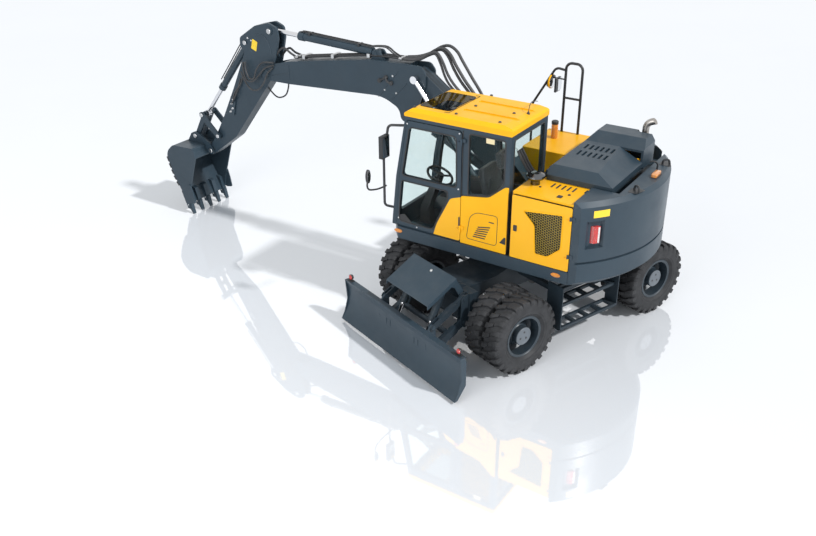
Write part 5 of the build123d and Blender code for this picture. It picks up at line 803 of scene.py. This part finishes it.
def make_cab_trim():
    """Window beads, door handle, bolts, roof plugs and the aerial."""
    mesh = bmesh.new()
    for corners in DOOR_PANES:
        gasket(mesh, corners, CAB_FACE)
    plate(mesh, (0.500, 0.522), (1.51, 1.72), (1.2215, 1.2260), "y", 0.01)
    slab(mesh, [(1.235, 1.448), (1.425, 1.448), (1.432, 1.530), (1.350, 1.560)], 1.2190, 1.2245, "y")
    finish("door_beads", mesh, "door", "black_plastic")
    mesh = bmesh.new()
    gasket(mesh, SIDE_PANE, 1.2150)
    for corners in FAR_PANES:
        gasket(mesh, corners, CAB_FAR_FACE)
    tube(mesh, [(-0.182, y, z) for y, z in rounded(BACK_PANE)], 0.010, 6, 0, loop=True)
    tube(mesh, [(0.480, 1.219, 2.885), (0.484, 1.219, 2.05), (0.484, 1.219, 1.38)], 0.006, 6, 0)
    finish("cab_beads", mesh, "upper_body", "black_plastic")
    mesh = bmesh.new()
    for x, z in ((0.530, 2.840), (0.530, 2.10), (1.160, 1.405), (1.452, 1.48), (1.300, 2.830)):
        turned(mesh, [(0.0, 0.011), (0.004, 0.011), (0.006, 0.008), (0.006, 0.0)], (x, CAB_FACE, z), (0, 1, 0), 16)
    finish("door_bolts", mesh, "door", "zinc_steel")
    mesh = bmesh.new()
    for x, y in ((0.592, 0.721), (0.64, 1.123), (0.033, 1.119), (0.046, 0.726), (1.227, 1.16), (0.637, 0.224)):
        turned(mesh, [(-0.004, 0.020), (0.006, 0.020), (0.014, 0.014), (0.016, 0.0)], (x, y, ROOF_Z), (0, 0, 1), 16)
    turned(mesh, [(-0.004, 0.022), (0.02, 0.018), (0.04, 0.008), (0.045, 0.0)], (-0.099, 0.626, 3.03), (0, 0, 1), 16)
    aerial = [(-0.099, 0.626, 3.06), (-0.09, 0.58, 3.13), (-0.06, 0.47, 3.14), (-0.02, 0.30, 3.10), (0.0, 0.17, 3.06)]
    tube(mesh, aerial, 0.005, 6, 5)
    for y in (0.50, 0.98):
        box(mesh, (0.742, 0.782), (y - 0.04, y + 0.04), (3.040, 3.060))
    finish("roof_plugs", mesh, "upper_body", "black_plastic")


def make_housing_marks():
    """The roof seam, the hatch with black bars and a black plate that paint the shade of its louvres and vent, the
    housing's seam, and black plates that paint the shade of slots on the deck, with bolts.
    """
    mesh = bmesh.new()
    tube(mesh, [(0.80, 0.34, 3.0475), (0.74, 0.34, 3.0475), (0.74, 1.14, 3.0475), (0.80, 1.14, 3.0475)], 0.004, 6, 0)
    gasket(mesh, HATCH, HOUSING_FACE, 0.004)
    # black bars: painted shade of the louvre gaps in the hatch
    for index in range(6):
        start = Vector((0.298 - 0.014 * index, HOUSING_FACE, 1.505 + 0.029 * index))
        beam(mesh, start, start + Vector((-0.176, 0, 0.004 + 0.006 * index)), 0.004, 0.015)
    beam(mesh, (0.074, HOUSING_FACE, 1.757), (0.000, HOUSING_FACE, 1.757), 0.004, 0.014)
    # black plate: painted shade of the opening in the housing
    vent = rounded([(-0.085, 1.510, 0.01), (-0.150, 1.600, 0.01), (-0.172, 1.600, 0.01), (-0.172, 1.500, 0.01)], 3)
    slab(mesh, vent, 1.2300, 1.2330, "y")
    tube(mesh, [(-0.2385, 1.2300, 1.372), (-0.2385, 1.2300, 2.255), (-0.2385, 0.66, 2.2575)], 0.004, 6, 0)
    finish("housing_louvres", mesh, "upper_body", "black_plastic")
    mesh = bmesh.new()
    levels = (DECK_Z, DECK_Z + 0.0025)
    # thin black plates: painted shade of the slots in the deck
    for index in range(5):
        x = -0.581 - 0.071 * index
        plate(mesh, (x - 0.012, x + 0.012), (0.74, 0.88), levels, "z", 0.011)
    for x, y in ((-1.005, 0.783), (-1.040, 0.798)):
        plate(mesh, (x - 0.010, x + 0.010), (y - 0.05, y + 0.05), levels, "z", 0.009)
    plate(mesh, (-0.83, -0.77), (1.06, 1.13), (DECK_Z, DECK_Z + 0.0085), "z", 0.01)
    bolt(mesh, (-0.466, 0.94, 2.256), (0, 0, 1), 0.013, 0.010)
    bolt(mesh, (-0.874, 0.986, 2.256), (0, 0, 1), 0.015, 0.012)
    finish("deck_slots", mesh, "upper_body", "black_plastic")


def inside(corners, a, b):
    """Whether a point lies in an outline."""
    odd = False
    for (a0, b0), (a1, b1) in zip(corners, corners[1:] + corners[:1]):
        if (b0 > b) != (b1 > b) and a < a0 + (b - b0) * (a1 - a0) / (b1 - b0):
            odd = not odd
    return odd


def make_grille():
    """Honeycomb mesh, raised frame and latch on the cooler door."""
    corners = [(-0.40, 2.04), (-0.93, 2.10), (-0.93, 1.65), (-0.76, 1.50), (-0.59, 1.50), (-0.56, 1.88)]
    mesh = bmesh.new()
    cell = 0.019
    wide, tall = 1.5 * cell, math.sqrt(3) * cell
    for column in range(-1, 24):
        for row in range(-1, 24):
            a = -0.93 + column * wide
            b = 1.50 + row * tall + (tall / 2 if column % 2 else 0)
            if not inside(corners, a, b):
                continue
            knots = [(x, 1.2445, z) for x, z in oval(a, b, cell, cell, 6)[:4]]
            for start, end in zip(knots, knots[1:]):
                beam(mesh, start, end, 0.0045, 0.004, (0, 1, 0))
    finish("grille_mesh", mesh, "side_door", "grille_wire")
    mesh = bmesh.new()
    gasket(mesh, [(a, b, 0.03) for a, b in corners], 1.2500, 0.008, 8)
    finish("grille_frame", mesh, "side_door", "yellow_paint")
    mesh = bmesh.new()
    plate(mesh, (-0.33, -0.28), (1.74, 1.82), (1.2480, 1.2560), "y", 0.008)
    finish("door_latch", mesh, "side_door", "black_plastic", bevel=0.002)


def make_mirrors():
    """Mirror glasses, the round mirror's rim, and the oval mirror's shell with its stem."""
    oval_at = (1.805, 2.26)
    round_at = -1.18, 2.922
    mesh = bmesh.new()
    plate(mesh, (1.265, 1.405), (2.362, 2.638), (1.5570, 1.5598), "x", 0.02, 4)
    slab(mesh, oval(*oval_at, 0.035, 0.085, 20), 1.500, 1.506, "x")
    plate(mesh, (-1.284, -1.164), (2.802, 2.982), (0.3200, 0.3248), "x", 0.015, 4)
    turned(mesh, [(0.0, 0.088), (0.006, 0.080), (0.014, 0.050), (0.018, 0.0)], (0.422, *round_at), (-1, 0, 0.03), 32)
    finish("mirror_glasses", mesh, "upper_body", "mirror_glass")
    mesh = bmesh.new()
    rim = [(0.0, 0.099), (0.012, 0.103), (0.024, 0.100), (0.024, 0.088), (0.0, 0.088)]
    turned(mesh, rim, (0.420, *round_at), (1, 0, 0.03), 32, loop=True)
    finish("round_mirror_rim", mesh, "upper_body", "yellow_paint")
    mesh = bmesh.new()
    slab(mesh, oval(*oval_at, 0.042, 0.092, 20), 1.506, 1.530, "x")
    stem = [(1.50, 1.43, 2.01), (1.51, 1.52, 2.01), (1.52, 1.62, 2.02), (1.53, 1.76, 2.06), (1.53, 1.81, 2.12),
            (1.525, 1.805, 2.22)]
    tube(mesh, stem, 0.012, 8, 5)
    finish("oval_mirror", mesh, "upper_body", "black_plastic")


def make_lamps_and_filler():
    """Side markers, the tail lamps' lenses, and the filler neck with its cap."""
    mesh = bmesh.new()
    for x, z in ((1.44, 1.302), (-0.89, 1.290)):
        for side in SIDES:
            for reach, rise in ((1.0, 0.0085), (0.8, 0.0125)):
                outline = oval(x, z, 0.062 * reach, 0.026 * reach, 24)
                slab(mesh, outline, side * 1.2495, side * (1.2500 + rise), "y")
    finish("side_markers", mesh, "upper_body", "amber_lens")
    mesh = bmesh.new()
    for y in (1.055, -1.055):
        x = -math.sqrt(1.690 ** 2 - y ** 2)
        box(mesh, (x - 0.010, x + 0.01), (y - 0.008, y + 0.008), (1.765, 1.970))
    finish("tail_lamp_lenses", mesh, "upper_body", "white_lens", bevel=0.003)
    mesh = bmesh.new()
    # the filler neck is yellow; the amber lens colour on it stands in for that yellow in shade (painted shade)
    turned(mesh, [(-0.01, 0.048), (0.19, 0.048), (0.21, 0.040), (0.215, 0.0)], (0.19, -0.86, 2.222), (0, 0, 1), 24)
    finish("filler_neck", mesh, "upper_body", "amber_lens")
    mesh = bmesh.new()
    turned(mesh, [(0.0, 0.050), (0.035, 0.050), (0.045, 0.042), (0.045, 0.0)], (0.19, -0.86, 2.430), (0, 0, 1), 24)
    finish("filler_cap", mesh, "upper_body", "black_plastic")


def cushion(mesh, centre, size, crown, lean, channels):
    """A crowned, round-cornered pad with sewn channels, tilted about the cross axis."""
    form = bmesh.new()
    bmesh.ops.create_cube(form, size=1.0)
    bmesh.ops.subdivide_edges(form, edges=form.edges, cuts=15, use_grid_fill=True)
    for vert in form.verts:
        x, y, z = (2 * part for part in vert.co)
        reach = (abs(x) ** 7 + abs(y) ** 7 + abs(z) ** 7) ** (1 / 7)
        x, y, z = (part / reach * max(abs(x), abs(y), abs(z)) for part in (x, y, z))
        height = z * size[2] / 2
        if z > 0:
            height += crown * (1 - x * x) * (1 - y * y)
            for channel in channels:
                height -= 0.008 * math.exp(-((y * size[1] / 2 - channel) / 0.010) ** 2) * (1 - x ** 4)
        pull = 1 - 0.02 * math.cos(math.pi * z / 2)
        vert.co = Vector((x * size[0] / 2 * pull, y * size[1] / 2 * pull, height))
    turn = Matrix.Rotation(lean, 4, "Y")
    bmesh.ops.transform(form, matrix=Matrix.Translation(centre) @ turn, verts=form.verts)
    data = bpy.data.meshes.new("form")
    form.to_mesh(data)
    form.free()
    mesh.from_mesh(data)
    bpy.data.meshes.remove(data)


def make_seat():
    """The operator's seat as separate padded pieces on a moulded base."""
    low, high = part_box("operator_seat")
    middle = (low.y + high.y) / 2
    pads = (("seat_cushion", (0.575, middle, 1.635), (0.52, 0.48, 0.11), 0.022, -0.04, (-0.13, 0.13)),
            ("seat_back", (0.300, middle, 2.000), (0.64, 0.45, 0.10), 0.020, -1.30, (-0.12, 0.12)),
            ("seat_headrest", (0.170, middle, 2.425), (0.22, 0.27, 0.08), 0.012, -1.34, ()))
    for name, *form in pads:
        mesh = bmesh.new()
        cushion(mesh, *form)
        replaced = ("operator_seat",) if name == "seat_cushion" else ()
        made = finish(name, mesh, "upper_body", "seat_fabric", replaces=replaced)
    mesh = bmesh.new()
    outline = [(0.34, 1.268, 0.03), (0.76, 1.268, 0.03), (0.74, 1.42, 0.03), (0.78, 1.585, 0.03), (0.32, 1.585, 0.03),
               (0.36, 1.42, 0.03)]
    slab(mesh, rounded(outline, 3), middle - 0.20, middle + 0.20, "y")
    for side in SIDES:
        y = middle + side * 0.18
        beam(mesh, (0.35, y, 1.58), (0.24, y, 2.20), 0.03, 0.05, (0, 1, 0))
    finish("seat_base", mesh, "upper_body", "black_plastic", bevel=0.008)


def make_cab_hoses():
    """Three hoses that come down the back of the cab onto the deck."""
    runs = [[(-0.186, y, 2.70), (-0.215, y - 0.03, 2.62), (-0.235, y - 0.12, 2.48), (-0.270, y - 0.24, 2.33),
             (-0.330, y - 0.36, 2.28), (-0.380, y - 0.50, 2.262)] for y in (1.04, 0.985, 0.93)]
    piped("valve_hoses", "upper_body", "hose_rubber", runs, 0.016)


def bent_plate(mesh, radius, y_span, z_span, thick, steps=8):
    """A thin plate that follows the round rear of the counterweight."""
    corners = ((radius, z_span[0]), (radius + thick, z_span[0]), (radius + thick, z_span[1]), (radius, z_span[1]))
    rings = []
    for index in range(steps + 1):
        y = y_span[0] + (y_span[1] - y_span[0]) * index / steps
        rings.append([(-math.sqrt(reach ** 2 - y ** 2), y, z) for reach, z in corners])
    skin(mesh, rings)


def make_rear_fittings():
    """Bare plate, lamp, lock lever and lifting eyes on the counterweight, and the plate inside the cab window."""
    mesh = bmesh.new()
    bent_plate(mesh, 1.7000, (0.970, 1.135), (2.105, 2.195), 0.002)
    finish("rear_blank_plate", mesh, "upper_body", "blank_plate")
    mesh = bmesh.new()
    plate(mesh, (-1.605, -1.535), (-0.16, 0.03), (2.300, 2.345), "z", 0.02, 4)
    finish("rear_lamp", mesh, "upper_body", "amber_lens", bevel=0.008)
    mesh = bmesh.new()
    box(mesh, (-1.615, -1.525), (-0.17, 0.04), (2.296, 2.304))
    tube(mesh, [(-1.50, -0.30, 2.298), (-1.50, -0.30, 2.36), (-1.47, -0.27, 2.40), (-1.42, -0.24, 2.40)], 0.012, 8, 4)
    eye = ((-1.50, 0.50, 2.29), (-1.51, 0.50, 2.345), (-1.54, 0.52, 2.36), (-1.57, 0.54, 2.345), (-1.58, 0.55, 2.29))
    pad = ((-1.63, 0.45), (-1.47, 0.45), (-1.46, 0.62), (-1.57, 0.62))
    for side in SIDES:
        tube(mesh, [(x, side * y, z) for x, y, z in eye], 0.014, 8, 5)
        slab(mesh, rounded([(x, side * y, 0.03) for x, y in pad], 3), 2.2975, 2.3015, "z")
    finish("rear_lever_and_eyes", mesh, "upper_body", "black_metal")
    mesh = bmesh.new()
    plate(mesh, (0.045, 0.160), (2.785, 2.850), (1.2115, 1.2125), "y", 0.008)
    finish("window_blank_plate", mesh, "upper_body", "cream_plate")


# ---- undercarriage and bucket details ----


def make_blade_fittings():
    """Blade lamps on their brackets and the blade cover's lock bolt."""
    bodies, lenses = bmesh.new(), bmesh.new()
    for y in (-1.16, 1.16):
        box(bodies, (2.275, 2.335), (y - 0.045, y + 0.045), (0.631, 0.640))
        box(bodies, (2.300, 2.308), (y - 0.045, y + 0.045), (0.636, 0.665))
        place = (2.305, y, 0.690)
        turned(bodies, [(-0.022, 0.030), (0.000, 0.038), (0.012, 0.038), (0.012, 0.0)], place, (1, 0, 0), 24)
        turned(lenses, [(0.010, 0.034), (0.020, 0.032), (0.028, 0.020), (0.031, 0.0)], place, (1, 0, 0), 24)
    finish("blade_lamp_bodies", under(bodies), "blade_plate", "black_plastic")
    finish("blade_lamp_lenses", under(lenses), "blade_plate", "lamp_plastic")
    mesh = bmesh.new()
    rise, run = 0.240, 0.457
    bolt(mesh, (1.84, 0.02, 1.179 - 0.075 * (rise / run)), Vector((rise, 0, run)).normalized(), 0.016, 0.014)
    finish("cover_bolt", under(mesh), "chassis", "zinc_steel")


def make_step_treads():
    """Raised round studs on the step treads."""
    mesh = bmesh.new()
    for side in SIDES:
        for level, shift in ((0.400, 0.0), (0.700, -0.06)):
            for column in range(23):
                for row in (0.012, 0.200):
                    place = (-0.40 + 0.0455 * column, side * (0.990 + row - 0.002 + shift), level)
                    turned(mesh, [(-0.001, 0.009), (0.003, 0.008), (0.004, 0.004)], place, (0, 0, 1), 8)
    finish("tread_studs", under(mesh), "chassis", "chassis_paint")


def make_bucket_wear():
    """Wear blocks on the bucket's side edges and the pins of its teeth."""
    line = [(6.872, 1.000), (6.842, 0.880), (6.806, 0.770), (6.764, 0.665), (6.716, 0.565), (6.662, 0.470)]
    half, teeth, inset = 0.450, 5, 0.039
    mesh = bmesh.new()
    for side in SIDES:
        y = BOOM_Y + side * (half - 0.030)
        for (x0, z0), (x1, z1) in zip(line, line[1:]):
            beam(mesh, (x0 - 0.006, y, z0 - 0.012), (x1 - 0.006, y, z1 + 0.022), 0.070, 0.030, (1, 0, -0.4))
    finish("bucket_wear_blocks", mesh, "digging_bucket", "dark_metal", bevel=0.004)
    mesh = bmesh.new()
    for index in range(teeth):
        y = BOOM_Y - half + inset + index * 2 * (half - inset) / (teeth - 1)
        for side in SIDES:
            place = (6.485, y + side * inset, 0.160)
            turned(mesh, [(0.0, 0.012), (0.005, 0.012), (0.006, 0.0)], place, (0, side, 0), 12)
    finish("tooth_pins", mesh, "digging_bucket", "zinc_steel")


for make in (make_wheels, make_boom_lines, make_boom_marks, make_arm_marks, make_ram_lines, make_cab_trim,
             make_housing_marks, make_grille, make_mirrors, make_lamps_and_filler, make_seat, make_blade_fittings,
             make_step_treads, make_bucket_wear, make_cab_hoses, make_rear_fittings):
    make()

# ---- floor, light and camera ----


def floor_material():
    """A pale glossy floor that mirrors the machine and keeps its shadow."""
    material, tree, shader = blank("pale_floor")
    tint(tree, shader, (0.80, 0.815, 0.84, 1), (0.79, 0.805, 0.83, 1), 0.4)
    set_shader(shader, Roughness=0.03, Specular_IOR_Level=0.5, IOR=3.0)
    return material


def place_in_scene(name, data, place=(0, 0, 0), back=None):
    """A new object at a place; back is the way its own z axis points."""
    made = bpy.data.objects.new(name, data)
    made.location = place
    if back is not None:
        made.rotation_mode = "QUATERNION"
        made.rotation_quaternion = Vector(back).to_track_quat("Z", "Y")
    bpy.context.scene.collection.objects.link(made)
    return made


def make_floor():
    """A wide floor just under the wheels."""
    mesh = bpy.data.meshes.new("floor")
    reach = 60.0
    corners = [(-reach, -reach, 0), (reach, -reach, 0), (reach, reach, 0), (-reach, reach, 0)]
    mesh.from_pydata(corners, [], [(0, 1, 2, 3)])
    mesh.materials.append(floor_material())
    floor = place_in_scene("floor", mesh, (0, 0, -0.002))


def make_light():
    """A sky that is white where it is seen, the sun and one soft lamp."""
    world = bpy.data.worlds.new("soft_sky")
    bpy.context.scene.world = world
    world.use_nodes = True
    tree = world.node_tree
    back = tree.nodes["Background"]
    rays = add(tree, "LightPath").outputs
    seen = math_node(tree, "MAXIMUM", rays["Is Camera Ray"], rays["Is Transmission Ray"])
    seen = math_node(tree, "MAXIMUM", seen, rays["Is Glossy Ray"])
    tree.links.new(spread(tree, seen, 0.0, 1.0, 0.55, 1.0), back.inputs["Strength"])
    tree.links.new(blend_colour(tree, seen, (0.86, 0.93, 1.0, 1), (1, 1, 1, 1)), back.inputs["Color"])
    sun = bpy.data.lights.new("sun", "SUN")
    sun.energy, sun.angle = 2.9, math.radians(3)
    place_in_scene("sun", sun, back=(-1.05, -0.02, 1.0))
    soft = bpy.data.lights.new("side_softbox", "AREA")
    soft.energy, soft.size = 900.0, 9.0
    place, aim = Vector((1.0, 13.0, 7.0)), Vector((1.0, 0, 1.5))
    place_in_scene("side_softbox", soft, place, place - aim)


def make_camera():
    """A long view from the rear left corner, looking down on the machine."""
    data = bpy.data.cameras.new("camera")
    data.sensor_width, data.lens = 36.0, 39.63
    data.clip_end = 200.0
    right = Vector((-0.83563, -0.54925, -0.00709))
    up = Vector((0.25201, -0.39481, 0.88353))
    back = Vector((-0.48807, 0.73652, 0.46833))
    turn = Matrix((right, up, back)).transposed().to_4x4()
    camera = place_in_scene("camera", data)
    camera.matrix_world = Matrix.Translation((-4.752, 10.366, 6.562)) @ turn
    bpy.context.scene.camera = camera


make_floor()
make_light()
make_camera()
bpy.context.scene.view_settings.view_transform = "Standard"
